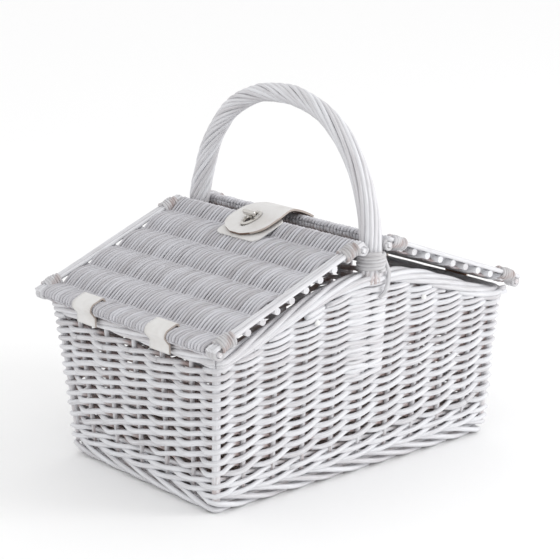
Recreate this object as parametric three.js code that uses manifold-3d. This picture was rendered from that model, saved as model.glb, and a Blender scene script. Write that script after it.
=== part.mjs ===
// A lidded willow picnic basket with a fixed bow handle, as an assembly of separate pieces.
// Millimetres, +Z up. X runs along the basket from hinge end to hinge end and Y across it.
// The origin is at the centre of the foot, on the surface that the basket stands on.
import * as THREE from 'three';
import { mergeVertices } from 'three/addons/utils/BufferGeometryUtils.js';
import Module from 'manifold-3d';

const wasm = await Module();
wasm.setup();

// Driving dimensions
const GAP = 0.3;                  // clearance between touching pieces
const FOOT_HALF_X = 193;          // outside of the basket at the floor
const FOOT_HALF_Y = 131;
const FLARE_X = 7 / 164;          // how far each wall leans out for each millimetre of height
const FLARE_Y = 19 / 164;
const CORNER_RADIUS = 12;
const INNER_RADIUS = 4;           // least radius of an inner corner
const WALL_THICKNESS = 15;
const FOOT_HEIGHT = 16.5;
const WALE_TOP = 38;
const RIM_END_Z = 163.5;          // centre of the rim on the short ends
const RIM_RISE = 53;              // extra height of the rim at the middle of the long sides
const RIM_HALF_HEIGHT = 8.5;
const RIM_THICKNESS = 18;
const TALL = 260;                 // above every part of the walls
const HALF_LENGTH = 200;
const STAKE_DIAMETER = 7;
const STAKE_INSET = 7.5;
const LONG_STAKE_PITCH = 38;
const SHORT_STAKE_PITCH = 44;
const POST_DIAMETER = 9;
const BASE_THICKNESS = 12;

const HINGE_X = 203.5;            // axis of the outermost stick of each lid
const HINGE_Z = 180.5;
const RIDGE_X = 18;               // axis of the innermost stick of each lid
const RIDGE_Z = 252.5;
const STICK_COUNT = 6;
const LID_RUN = HINGE_X - RIDGE_X;
const LID_SLOPE = Math.atan2(RIDGE_Z - HINGE_Z, LID_RUN);
const STICK_PITCH = Math.hypot(LID_RUN, RIDGE_Z - HINGE_Z) / (STICK_COUNT - 1);
const STICK_DIAMETER = 8;
const STICK_LENGTH = 326;
const LID_HALF_THICKNESS = 6.7;
const LID_WEAVE_HALF_WIDTH = 146.5;

const HANDLE_CORE_DIAMETER = 8;
const HANDLE_WRAP_DIAMETER = 20;
const HANDLE_HALF_WIDTH = 153;
const HANDLE_SPRING_Z = 230.6;    // where the legs turn into the bow
const HANDLE_TOP_Z = 390;
const HANDLE_POWER = 2.13;        // fullness of the bow
const HANDLE_LEAN = 15.5 / 200;
const HANDLE_FOOT_Z = 112;
const HANDLE_INSET = 5;
const COLLAR_HALF_X = 12.8;        // narrow between the two lids
const COLLAR_HALF_Y = 18;
const COLLAR_HEIGHT = 21;

const STRAP_WIDTH = 34;
const STRAP_Y = 66;
const LATCH_X = 35;               // distance of the eyelet from the middle of the basket
const EYELET_RISE = 14;           // height of the eyelet above the middle of the lid
const PAD_THICKNESS = 1.5;
const LOCK_BASE_THICKNESS = 1.6;
const SIDE_ROD_Y = 155;
const SIDE_ROD_HALF_HEIGHT = 2.6;
const LASHING_LENGTH = 20;
const LASHING_INSET = 16;         // from the first or last stick to the middle of a lashing
const STUD_X = 73;
const STUD_Z = 184;
const FLAP_ROOT_X = 33;           // where the flap is fixed to the other lid
const FLAP_END_X = -58;
const FLAP_THICKNESS = 2.2;
const NECK_HALF_WIDTH = 23.5;
const PADDLE_HALF_WIDTH = 34;

// Colours of the finishes
const willow = (name) => finish(name, 0xd8d3cb, 0.75, 0);
const leather = (name) => finish(name, 0xe9e1cf, 0.6, 0);
const nickel = (name) => finish(name, 0xb9b7b1, 0.3, 1);

function finish(name, color, roughness, metalness) {
  return new THREE.MeshStandardMaterial({ name, color, roughness, metalness });
}

// --- helpers -----------------------------------------------------------------------------

function node(name, geometry, material) {
  const mesh = new THREE.Mesh(geometry, material);
  mesh.name = name;
  return mesh;
}

// Applies a function to every vertex of a geometry, with coincident vertices merged.
function shaped(geometry, move) {
  geometry.deleteAttribute('normal');
  geometry.deleteAttribute('uv');
  const merged = mergeVertices(geometry, 1e-3);
  const position = merged.attributes.position;
  const point = new THREE.Vector3();
  for (let i = 0; i < position.count; i += 1) {
    point.fromBufferAttribute(position, i);
    move(point);
    position.setXYZ(i, point.x, point.y, point.z);
  }
  merged.computeVertexNormals();
  return merged;
}

function toSolid(geometry) {
  const merged = shaped(geometry.clone(), () => {});
  return new wasm.Manifold(new wasm.Mesh({
    numProp: 3,
    vertProperties: new Float32Array(merged.attributes.position.array),
    triVerts: new Uint32Array(merged.index.array),
  }));
}

function toGeometry(solid) {
  const mesh = solid.getMesh();
  const geometry = new THREE.BufferGeometry();
  geometry.setAttribute('position', new THREE.BufferAttribute(mesh.vertProperties, 3));
  geometry.setIndex(new THREE.BufferAttribute(mesh.triVerts, 1));
  geometry.computeVertexNormals();
  return geometry;
}

function rimHeight(x) {
  const reach = Math.min(Math.abs(x) / HALF_LENGTH, 1);
  return RIM_END_Z + RIM_RISE * Math.cos(Math.PI / 2 * reach) ** 1.5;
}

// Leans a point of the upright basket outwards with the walls.
function lean(point) {
  const z = point.z;
  point.x *= 1 + FLARE_X / FOOT_HALF_X * z;
  point.y *= 1 + FLARE_Y / FOOT_HALF_Y * z;
}

// A rounded rectangle as points.
function outlinePoints(halfX, halfY, radius) {
  const points = [];
  const corners = [[1, 1, 0], [-1, 1, 1], [-1, -1, 2], [1, -1, 3]];
  corners.forEach(([signX, signY, quarter]) => {
    const steps = 4;
    for (let i = 0; i <= steps; i += 1) {
      const angle = Math.PI / 2 * (quarter + i / steps);
      points.push(new THREE.Vector2(
        signX * (halfX - radius) + radius * Math.cos(angle),
        signY * (halfY - radius) + radius * Math.sin(angle),
      ));
    }
  });
  return points;
}

function circle(x, y, diameter, sides) {
  const path = new THREE.Path();
  for (let i = 0; i < sides; i += 1) {
    const angle = -2 * Math.PI * i / sides;
    const radius = diameter / 2 / Math.cos(Math.PI / sides);
    const at = [x + radius * Math.cos(angle), y + radius * Math.sin(angle)];
    if (i === 0) path.moveTo(...at);
    else path.lineTo(...at);
  }
  path.closePath();
  return path;
}

function extruded(shape, depth) {
  return new THREE.ExtrudeGeometry(shape, { depth, bevelEnabled: false, curveSegments: 6 });
}

// A ring of the basket's plan, leaning with the walls, from one height to another.
function ring(inset, thickness, bottom, top, holes) {
  const halfX = FOOT_HALF_X - inset;
  const halfY = FOOT_HALF_Y - inset;
  const radius = CORNER_RADIUS - inset;
  const shape = new THREE.Shape(outlinePoints(halfX, halfY, radius));
  const innerRadius = Math.max(radius - thickness, INNER_RADIUS);
  const inner = outlinePoints(halfX - thickness, halfY - thickness, innerRadius);
  shape.holes.push(new THREE.Path(inner.reverse()));
  holes.forEach(([x, y, diameter]) => shape.holes.push(circle(x, y, diameter, 6)));
  return shaped(extruded(shape, 1), (point) => {
    point.z = bottom + point.z * (top - bottom);
    lean(point);
  });
}

// The space below the rim's curve, raised or lowered by an offset.
function belowRim(offset) {
  const reach = HALF_LENGTH + 20;
  const points = [[-reach, -1], [reach, -1]];
  for (let x = reach; x >= -reach; x -= 20) points.push([x, rimHeight(x) + offset]);
  return toSolid(acrossBasket(points, 0, 2 * reach));
}

// A point of the lid's own frame: s up the slope from the hinge, n out of the lid's top.
function lidPoint(s, n) {
  const cos = Math.cos(LID_SLOPE);
  const sin = Math.sin(LID_SLOPE);
  return [-HINGE_X + s * cos - n * sin, HINGE_Z + s * sin + n * cos];
}

// Extrudes a profile drawn in the XZ plane along Y, centred on a given Y.
function acrossBasket(points, centreY, width) {
  const shape = new THREE.Shape(points.map(([x, z]) => new THREE.Vector2(x, z)));
  const geometry = extruded(shape, width);
  geometry.rotateX(Math.PI / 2);
  geometry.translate(0, centreY + width / 2, 0);
  return geometry;
}

// --- where the stakes stand --------------------------------------------------------------

function stakePlaces() {
  const places = [];
  const x = FOOT_HALF_X - STAKE_INSET;
  const y = FOOT_HALF_Y - STAKE_INSET;
  for (let i = -4; i <= 4; i += 1) {
    if (i !== 0) places.push([i * LONG_STAKE_PITCH, -y], [i * LONG_STAKE_PITCH, y]);
  }
  for (let i = -2; i <= 2; i += 1) {
    places.push([-x, i * SHORT_STAKE_PITCH], [x, i * SHORT_STAKE_PITCH]);
  }
  return places;
}

function postPlaces() {
  const inset = STAKE_INSET + (CORNER_RADIUS - STAKE_INSET) * (1 - Math.SQRT1_2);
  const x = FOOT_HALF_X - inset;
  const y = FOOT_HALF_Y - inset;
  return [['left_front', -x, -y], ['right_front', x, -y], ['left_back', -x, y], ['right_back', x, y]];
}

// Every round hole that the walls keep for the stakes and the corner posts.
function wallHoles() {
  const stakes = stakePlaces().map(([x, y]) => [x, y, STAKE_DIAMETER + 2 * GAP]);
  const posts = postPlaces().map(([, x, y]) => [x, y, POST_DIAMETER + 2 * GAP]);
  return [...stakes, ...posts];
}

function handleHoles(extra) {
  const y = FOOT_HALF_Y - HANDLE_INSET;
  const diameter = HANDLE_CORE_DIAMETER + extra;
  return [[0, -y, diameter], [0, y, diameter]];
}

function rod(x, y, bottom, top, diameter) {
  const geometry = new THREE.CylinderGeometry(diameter / 2, diameter / 2, 1, 6);
  geometry.rotateX(Math.PI / 2);
  return shaped(geometry, (point) => {
    point.x += x;
    point.y += y;
    point.z = point.z > 0 ? top : bottom;
    lean(point);
  });
}

// --- basket body -------------------------------------------------------------------------

function baseWeave() {
  const halfX = FOOT_HALF_X - WALL_THICKNESS - GAP;
  const halfY = FOOT_HALF_Y - WALL_THICKNESS - GAP;
  const radius = Math.max(CORNER_RADIUS - WALL_THICKNESS, INNER_RADIUS);
  const slab = extruded(new THREE.Shape(outlinePoints(halfX, halfY, radius)), BASE_THICKNESS);
  slab.translate(0, 0, FOOT_HEIGHT + GAP);
  let solid = toSolid(slab);
  baseStickPlaces().forEach((y) => {
    solid = solid.subtract(toSolid(alongX(y, STICK_DIAMETER + 2 * GAP, 2 * halfX + 10)));
  });
  return toGeometry(solid);
}

// A round bar along X, at the height of the base's sticks.
function alongX(y, diameter, length) {
  const geometry = new THREE.CylinderGeometry(diameter / 2, diameter / 2, length, 8);
  geometry.rotateZ(Math.PI / 2);
  geometry.translate(0, y, FOOT_HEIGHT + GAP + BASE_THICKNESS / 2);
  return geometry;
}

function baseStickPlaces() {
  return [-90, -45, 0, 45, 90];
}

function baseStick(y) {
  return alongX(y, STICK_DIAMETER, 2 * (FOOT_HALF_X - WALL_THICKNESS - 1));
}

function wallWeave() {
  const holes = [...wallHoles(), ...handleHoles(2 * GAP)];
  const tall = toSolid(ring(0, WALL_THICKNESS, WALE_TOP + GAP, TALL, holes));
  return toGeometry(tall.intersect(belowRim(-RIM_HALF_HEIGHT - GAP)));
}

function stakesAndRim() {
  const inset = STAKE_INSET - RIM_THICKNESS / 2;
  const tall = toSolid(ring(inset, RIM_THICKNESS, RIM_END_Z - 20, TALL, handleHoles(2 * GAP)));
  let solid = tall.intersect(belowRim(RIM_HALF_HEIGHT)).subtract(belowRim(-RIM_HALF_HEIGHT));
  stakePlaces().forEach(([x, y]) => {
    const stake = rod(x, y, FOOT_HEIGHT + GAP, rimHeight(x), STAKE_DIAMETER);
    solid = solid.add(toSolid(stake));
  });
  return toGeometry(solid);
}

function stud(x, side) {
  const radius = 3.2;
  const profile = [[0, 0], [radius, 0], [radius * 0.85, 1.5], [radius * 0.45, 2.6], [0, 3]];
  const geometry = new THREE.LatheGeometry(profile.map(([r, h]) => new THREE.Vector2(r, h)), 10);
  const wall = FOOT_HALF_Y * (1 + FLARE_Y / FOOT_HALF_Y * STUD_Z);
  if (side < 0) geometry.rotateX(Math.PI);
  geometry.rotateX(-side * Math.atan(FLARE_Y));
  geometry.translate(x, side * (wall + 2 * GAP), STUD_Z);
  return geometry;
}

// The leather runs from the top of the lid round the outer stick and down behind the rim.
function hingeStrap(end, y) {
  const thickness = 2;
  const inner = LID_HALF_THICKNESS + GAP;
  const outer = inner + thickness;
  const points = [lidPoint(18, outer), lidPoint(18, inner)];
  const turn = (radius, degrees) => {
    const angle = THREE.MathUtils.degToRad(degrees);
    return [-HINGE_X + radius * Math.cos(angle), HINGE_Z + radius * Math.sin(angle)];
  };
  const steps = 6;
  const first = 90 + THREE.MathUtils.radToDeg(LID_SLOPE);
  const arc = (i) => first + 75 * i / steps;
  for (let i = 0; i <= steps; i += 1) points.push(turn(inner, arc(i)));
  points.push([-HINGE_X - 1.2, 160], [-HINGE_X - 1.2 - thickness, 160]);
  for (let i = steps; i >= 0; i -= 1) points.push(turn(outer, arc(i)));
  return acrossBasket(points.map(([x, z]) => [x * end, z]), y, STRAP_WIDTH);
}

// --- handle ------------------------------------------------------------------------------

// The centreline of the bow, from the front leg's foot to the back leg's.
class HandleCurve extends THREE.Curve {
  constructor(low) {
    super();
    this.low = low;
  }

  getPoint(t, target = new THREE.Vector3()) {
    const side = t < 0.5 ? -1 : 1;
    const along = 1 - Math.abs(2 * t - 1);
    const legShare = (HANDLE_SPRING_Z - this.low) / 420;
    if (along < legShare) {
      const z = this.low + (HANDLE_SPRING_Z - this.low) * along / legShare;
      return target.set(handleLean(z), side * legY(z), z);
    }
    const angle = Math.PI / 2 * (along - legShare) / (1 - legShare);
    const y = legY(HANDLE_SPRING_Z) * Math.cos(angle) ** (2 / HANDLE_POWER);
    const rise = HANDLE_TOP_Z - HANDLE_SPRING_Z;
    const z = HANDLE_SPRING_Z + rise * Math.sin(angle) ** (2 / HANDLE_POWER);
    return target.set(handleLean(z), side * y, z);
  }
}

function legY(z) {
  const atFoot = FOOT_HALF_Y - HANDLE_INSET;
  return atFoot * (1 + FLARE_Y / FOOT_HALF_Y * z);
}

function handleLean(z) {
  return Math.max(z - HANDLE_SPRING_Z, 0) * HANDLE_LEAN;
}

function alongHandle(low, steps, outerDiameter, innerDiameter, sides) {
  const shape = new THREE.Shape(circle(0, 0, outerDiameter, sides).getPoints().reverse());
  if (innerDiameter) shape.holes.push(circle(0, 0, innerDiameter, sides));
  const curve = new HandleCurve(low);
  return new THREE.ExtrudeGeometry(shape, { steps, bevelEnabled: false, extrudePath: curve });
}

function collar(side) {
  const bottom = rimHeight(0) + RIM_HALF_HEIGHT + GAP;
  const shape = new THREE.Shape();
  shape.absellipse(0, 0, COLLAR_HALF_X, COLLAR_HALF_Y, 0, 2 * Math.PI);
  const bore = new THREE.Path();
  const wrapRadius = HANDLE_WRAP_DIAMETER / 2;
  bore.absellipse(0, 0, wrapRadius + 1.6, wrapRadius + 3.2, 0, 2 * Math.PI, true);
  shape.holes.push(bore);
  const geometry = extruded(shape, COLLAR_HEIGHT);
  return shaped(geometry, (point) => {
    point.z += bottom;
    point.x += 0.4;
    point.y += side * legY(bottom + COLLAR_HEIGHT / 4);
  });
}

// --- lids, built as the left one ---------------------------------------------------------

function lidWeave() {
  const end = (STICK_COUNT - 1) * STICK_PITCH;
  const points = [];
  const steps = 6;
  for (let i = 0; i <= steps; i += 1) {
    const angle = -Math.PI / 2 + Math.PI * i / steps;
    points.push([end + LID_HALF_THICKNESS * Math.cos(angle), LID_HALF_THICKNESS * Math.sin(angle)]);
  }
  for (let i = 0; i <= steps; i += 1) {
    const angle = Math.PI / 2 + Math.PI * i / steps;
    points.push([LID_HALF_THICKNESS * Math.cos(angle), LID_HALF_THICKNESS * Math.sin(angle)]);
  }
  const shape = new THREE.Shape(points.map(([s, n]) => new THREE.Vector2(s, n)));
  for (let i = 0; i < STICK_COUNT; i += 1) {
    shape.holes.push(circle(i * STICK_PITCH, 0, STICK_DIAMETER + 2 * GAP, 8));
  }
  const geometry = extruded(shape, 2 * LID_WEAVE_HALF_WIDTH);
  geometry.rotateX(Math.PI / 2);
  geometry.translate(0, LID_WEAVE_HALF_WIDTH, 0);
  return ontoLid(geometry);
}

// Moves a piece drawn in the lid's own frame, with s along X and n along Z, to its place.
function ontoLid(geometry) {
  geometry.rotateY(-LID_SLOPE);
  geometry.translate(-HINGE_X, 0, HINGE_Z);
  return geometry;
}

function lidBox(s, n, length, height, y, width) {
  const geometry = new THREE.BoxGeometry(length, width, height);
  geometry.translate(s, y, n);
  return ontoLid(geometry);
}

function lidStick(index) {
  const radius = STICK_DIAMETER / 2;
  const geometry = new THREE.CylinderGeometry(radius, radius, STICK_LENGTH, 8);
  geometry.translate(index * STICK_PITCH, 0, 0);
  return ontoLid(geometry);
}

// How far the side rods lie above the middle of the lid.
function sideRodN() {
  return STICK_DIAMETER / 2 + GAP + SIDE_ROD_HALF_HEIGHT;
}

function sideRod(side) {
  const end = (STICK_COUNT - 1) * STICK_PITCH;
  const shape = new THREE.Shape();
  shape.absellipse(0, 0, 6, SIDE_ROD_HALF_HEIGHT, 0, 2 * Math.PI);
  const geometry = extruded(shape, end + 8);
  geometry.rotateY(Math.PI / 2);
  geometry.rotateX(Math.PI / 2);
  geometry.translate(-4, side * SIDE_ROD_Y, sideRodN());
  return ontoLid(geometry);
}

// A lashing is a band round the side rods, just inside the first or the last stick.
function lashing(s, side) {
  const shape = new THREE.Shape();
  shape.absellipse(0, 0, 8, 4.4, 0, 2 * Math.PI);
  const bore = new THREE.Path();
  bore.absellipse(0, 0, 6 + GAP, SIDE_ROD_HALF_HEIGHT + GAP, 0, 2 * Math.PI, true);
  shape.holes.push(bore);
  const geometry = extruded(shape, LASHING_LENGTH);
  geometry.rotateY(Math.PI / 2);
  geometry.rotateX(Math.PI / 2);
  geometry.translate(s - LASHING_LENGTH / 2, side * SIDE_ROD_Y, sideRodN());
  return ontoLid(geometry);
}

function lid(name, turned) {
  const group = new THREE.Group();
  group.add(node(`${name}_lid_weave`, lidWeave(), willow('willow')));
  for (let i = 0; i < STICK_COUNT; i += 1) {
    group.add(node(`${name}_lid_stick_${i + 1}`, lidStick(i), willow('willow')));
  }
  const lastS = (STICK_COUNT - 1) * STICK_PITCH;
  [['front', -1], ['back', 1]].forEach(([place, side]) => {
    const actual = turned ? -side : side;
    group.add(node(`${name}_lid_side_rods_${place}`, sideRod(actual), willow('willow')));
    group.add(node(`${name}_lashing_outer_${place}`, lashing(LASHING_INSET, actual), willow('willow')));
    const ridge = lashing(lastS - LASHING_INSET, actual);
    group.add(node(`${name}_lashing_ridge_${place}`, ridge, willow('willow')));
  });
  if (turned) group.rotation.z = Math.PI;
  return group;
}

// --- latch -------------------------------------------------------------------------------

// How far up the lid's slope the lock stands.
function latchS() {
  return (HINGE_X - LATCH_X + EYELET_RISE * Math.sin(LID_SLOPE)) / Math.cos(LID_SLOPE);
}

function latchPad() {
  const n = LID_HALF_THICKNESS + GAP + PAD_THICKNESS / 2;
  return lidBox(latchS() - 6, n, 46, PAD_THICKNESS, -2, 70);
}

function lockBaseTop() {
  return LID_HALF_THICKNESS + GAP + PAD_THICKNESS + GAP + LOCK_BASE_THICKNESS;
}

function lockBase() {
  const n = lockBaseTop() - LOCK_BASE_THICKNESS / 2;
  return lidBox(latchS(), n, 24, LOCK_BASE_THICKNESS, 0, 14);
}

// The knob is a short post that carries a bar, longer than the post is wide.
function turnKnob() {
  const post = new THREE.CylinderGeometry(2, 2, 6.4, 10);
  post.rotateX(Math.PI / 2);
  post.translate(0, 0, 3.2);
  const shape = new THREE.Shape();
  shape.absellipse(0, 0, 9.5, 3, 0, 2 * Math.PI);
  const bar = extruded(shape, 4.5);
  bar.rotateZ(Math.PI / 2);
  bar.translate(0, 0, 5.2);
  const geometry = toGeometry(toSolid(post).add(toSolid(bar)));
  geometry.translate(latchS(), 0, lockBaseTop() + GAP);
  return ontoLid(geometry);
}

// The middle of the flap's thickness, from its root to its free end.
function flapSection() {
  const arch = [[24, 261.2], [12, 266], [0, 268.6], [-12, 267.3], [-24, 263.6], [-46, 255.1]];
  return [[FLAP_ROOT_X, 255.5], ...arch, [FLAP_END_X, 248.4]];
}

// A flexible strip arched over the ridge, wider and rounded at its free end.
function latchFlap() {
  const section = flapSection();
  const shape = new THREE.Shape();
  const shoulder = FLAP_END_X + 4;
  shape.moveTo(FLAP_ROOT_X, -NECK_HALF_WIDTH);
  shape.lineTo(FLAP_ROOT_X, NECK_HALF_WIDTH);
  shape.lineTo(10, NECK_HALF_WIDTH);
  shape.quadraticCurveTo(-10, NECK_HALF_WIDTH, -22, PADDLE_HALF_WIDTH);
  shape.quadraticCurveTo(shoulder, PADDLE_HALF_WIDTH, FLAP_END_X, 10);
  shape.lineTo(FLAP_END_X, -10);
  shape.quadraticCurveTo(shoulder, -PADDLE_HALF_WIDTH, -22, -PADDLE_HALF_WIDTH);
  shape.quadraticCurveTo(-10, -NECK_HALF_WIDTH, 10, -NECK_HALF_WIDTH);
  shape.closePath();
  let flat = toSolid(extruded(shape, 1));
  const slot = new THREE.Shape();
  slot.absellipse(-LATCH_X, 0, 11.5, 5.2, 0, 2 * Math.PI);
  const cutter = extruded(slot, 3);
  cutter.translate(0, 0, -1);
  flat = flat.subtract(toSolid(cutter));
  section.slice(1, -1).forEach(([x]) => {
    flat = divided(flat, x);
  });
  return shaped(toGeometry(flat), (point) => {
    const i = Math.min(section.findIndex(([x]) => x <= point.x + 1e-6), section.length - 1);
    const [highX, highZ] = section[Math.max(i - 1, 0)];
    const [lowX, lowZ] = section[Math.max(i, 1)];
    const share = (point.x - lowX) / (highX - lowX);
    const middle = i <= 0 ? section[0][1] : lowZ + (highZ - lowZ) * share;
    point.z = middle + (point.z - 0.5) * FLAP_THICKNESS;
  });
}

// Cuts a solid at a plane of constant x and joins it again, so that it can bend there.
function divided(solid, x) {
  const [left, right] = solid.splitByPlane([1, 0, 0], x);
  return left.add(right);
}

function eyeletPlate() {
  const shape = new THREE.Shape();
  shape.absellipse(0, 0, 14, 9.5, 0, 2 * Math.PI);
  const slot = new THREE.Path();
  slot.absellipse(0, 0, 10.5, 4.2, 0, 2 * Math.PI, true);
  shape.holes.push(slot);
  const geometry = extruded(shape, 1.2);
  geometry.translate(latchS(), 0, EYELET_RISE + 2 * GAP);
  return ontoLid(geometry);
}

// --- the whole basket --------------------------------------------------------------------

function basket() {
  const group = new THREE.Group();
  const twoSides = [['front', -1], ['back', 1]];
  group.add(node('base_weave', baseWeave(), willow('willow')));
  baseStickPlaces().forEach((y, i) => {
    group.add(node(`base_stick_${i + 1}`, baseStick(y), willow('willow')));
  });
  const foot = ring(0, WALL_THICKNESS, 0, FOOT_HEIGHT, []);
  group.add(node('foot_border', foot, willow('willow')));
  const wale = ring(0, WALL_THICKNESS, FOOT_HEIGHT + GAP, WALE_TOP, wallHoles());
  group.add(node('upsett_wale', wale, willow('willow')));
  group.add(node('wall_weave', wallWeave(), willow('willow')));
  group.add(node('stakes_and_rim', stakesAndRim(), willow('willow')));
  const postTop = RIM_END_Z - RIM_HALF_HEIGHT - 2 * GAP;
  postPlaces().forEach(([name, x, y]) => {
    const post = rod(x, y, FOOT_HEIGHT + GAP, postTop, POST_DIAMETER);
    group.add(node(`corner_post_${name}`, post, willow('willow')));
  });
  const rimTop = rimHeight(0) + RIM_HALF_HEIGHT;
  const core = alongHandle(HANDLE_FOOT_Z, 40, HANDLE_CORE_DIAMETER, 0, 8);
  group.add(node('handle_core', core, willow('willow')));
  const wrap = alongHandle(rimTop + 1, 36, HANDLE_WRAP_DIAMETER, HANDLE_CORE_DIAMETER + 3, 10);
  group.add(node('handle_wrap', wrap, willow('willow')));
  twoSides.forEach(([place, side]) => {
    group.add(node(`handle_collar_${place}`, collar(side), willow('willow')));
    group.add(node(`stud_left_${place}`, stud(-STUD_X, side), finish('stud', 0xf2efe8, 0.5, 0)));
    group.add(node(`stud_right_${place}`, stud(STUD_X, side), finish('stud', 0xf2efe8, 0.5, 0)));
    group.add(node(`hinge_strap_left_${place}`, hingeStrap(1, side * STRAP_Y), leather('leather')));
    group.add(node(`hinge_strap_right_${place}`, hingeStrap(-1, side * STRAP_Y), leather('leather')));
  });
  return group;
}

function latch() {
  const group = new THREE.Group();
  group.add(node('latch_pad', latchPad(), leather('leather')));
  group.add(node('turn_lock_base', lockBase(), nickel('nickel')));
  group.add(node('turn_knob', turnKnob(), nickel('nickel')));
  group.add(node('latch_flap', latchFlap(), leather('leather')));
  group.add(node('eyelet_plate', eyeletPlate(), nickel('nickel')));
  return group;
}

const part = new THREE.Group();
part.add(basket(), lid('left', false), lid('right', true), latch());

export default part;
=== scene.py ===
"""Visual model of a lidded willow picnic basket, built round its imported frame.

The classes work in millimetres, in the frame's own axes: X along the basket from hinge end to
hinge end, Y across it towards the back and Z up. A mesh is turned into metres when it is made.
"""

import logging
import math
from dataclasses import dataclass, field
from enum import Enum

import bmesh
import bpy
import numpy as np
from mathutils import Matrix, Vector

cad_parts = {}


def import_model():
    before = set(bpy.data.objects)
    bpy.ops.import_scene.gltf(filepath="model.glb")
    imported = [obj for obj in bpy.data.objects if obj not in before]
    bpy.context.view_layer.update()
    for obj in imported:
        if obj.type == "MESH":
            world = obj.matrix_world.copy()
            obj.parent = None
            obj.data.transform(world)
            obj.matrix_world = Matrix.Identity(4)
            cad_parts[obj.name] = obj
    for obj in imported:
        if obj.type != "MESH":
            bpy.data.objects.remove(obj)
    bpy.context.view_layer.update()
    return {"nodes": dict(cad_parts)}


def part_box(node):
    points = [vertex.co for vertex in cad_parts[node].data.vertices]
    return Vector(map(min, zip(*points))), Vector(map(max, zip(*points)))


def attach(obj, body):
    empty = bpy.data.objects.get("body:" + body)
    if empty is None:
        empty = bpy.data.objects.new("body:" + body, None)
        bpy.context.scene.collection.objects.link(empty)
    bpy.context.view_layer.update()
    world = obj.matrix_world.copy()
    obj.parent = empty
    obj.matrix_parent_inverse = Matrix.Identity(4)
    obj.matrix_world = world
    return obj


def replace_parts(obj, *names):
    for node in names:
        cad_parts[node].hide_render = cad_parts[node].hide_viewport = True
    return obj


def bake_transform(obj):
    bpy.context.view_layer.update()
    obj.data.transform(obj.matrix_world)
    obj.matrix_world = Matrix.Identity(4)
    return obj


LOG = logging.getLogger("picnic_basket")
MM = 0.001
Colour = tuple[float, float, float]


class End(Enum):
    """The two ends of the basket, with the sign of their X."""

    LEFT = -1
    RIGHT = 1


class Face(Enum):
    """The two long sides of the basket, with the sign of their Y."""

    FRONT = -1
    BACK = 1


# --- finishes ----------------------------------------------------------------------------


def new_material(name: str) -> tuple[bpy.types.Material, bpy.types.ShaderNodeTree, bpy.types.Node]:
    """Starts a material.

    Args:
        name: The material's name.

    Returns:
        The material, its node tree and its Principled shader.
    """
    material = bpy.data.materials.new(name)
    material.use_nodes = True
    tree = material.node_tree
    return material, tree, tree.nodes["Principled BSDF"]


def add_node(tree: bpy.types.ShaderNodeTree, kind: str, **settings: object) -> bpy.types.Node:
    """Adds a shader node.

    Args:
        tree: The tree that the node joins.
        kind: The node's type.
        settings: Properties of the node, or values of its inputs by name.

    Returns:
        The node.
    """
    made = tree.nodes.new(kind)
    for key, value in settings.items():
        if hasattr(made, key):
            setattr(made, key, value)
        else:
            made.inputs[key.replace("_", " ")].default_value = value
    return made


def mixed(tree: bpy.types.ShaderNodeTree, share: object, low: object, high: object) -> object:
    """Mixes two colours.

    Args:
        tree: The tree that the node joins.
        share: The output that says how much of the second colour there is.
        low: The first colour, or an output that gives it.
        high: The second colour, or an output that gives it.

    Returns:
        The output with the mixed colour.
    """
    mix = tree.nodes.new("ShaderNodeMix")
    mix.data_type = "RGBA"
    tree.links.new(share, mix.inputs["Factor"])
    for socket, value in ((mix.inputs["A"], low), (mix.inputs["B"], high)):
        if isinstance(value, tuple):
            socket.default_value = (*value, 1.0)
        else:
            tree.links.new(value, socket)
    return mix.outputs["Result"]


def ranged(tree: bpy.types.ShaderNodeTree, value: object, low: float, high: float) -> object:
    """Stretches part of a value's range to the whole of 0 to 1.

    Args:
        tree: The tree that the node joins.
        value: The output to stretch.
        low: What becomes 0.
        high: What becomes 1.

    Returns:
        The stretched output.
    """
    made = add_node(tree, "ShaderNodeMapRange", From_Min=low, From_Max=high)
    tree.links.new(value, made.inputs["Value"])
    return made.outputs["Result"]


def summed(tree: bpy.types.ShaderNodeTree, first: object, second: object, share: float) -> object:
    """Adds a share of one value to another.

    Args:
        tree: The tree that the node joins.
        first: The value that is kept whole.
        second: The value that is added.
        share: How much of the second value is added.

    Returns:
        The output with the sum.
    """
    made = tree.nodes.new("ShaderNodeMath")
    made.operation = "MULTIPLY_ADD"
    tree.links.new(second, made.inputs[0])
    made.inputs[1].default_value = share
    tree.links.new(first, made.inputs[2])
    return made.outputs[0]


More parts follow.
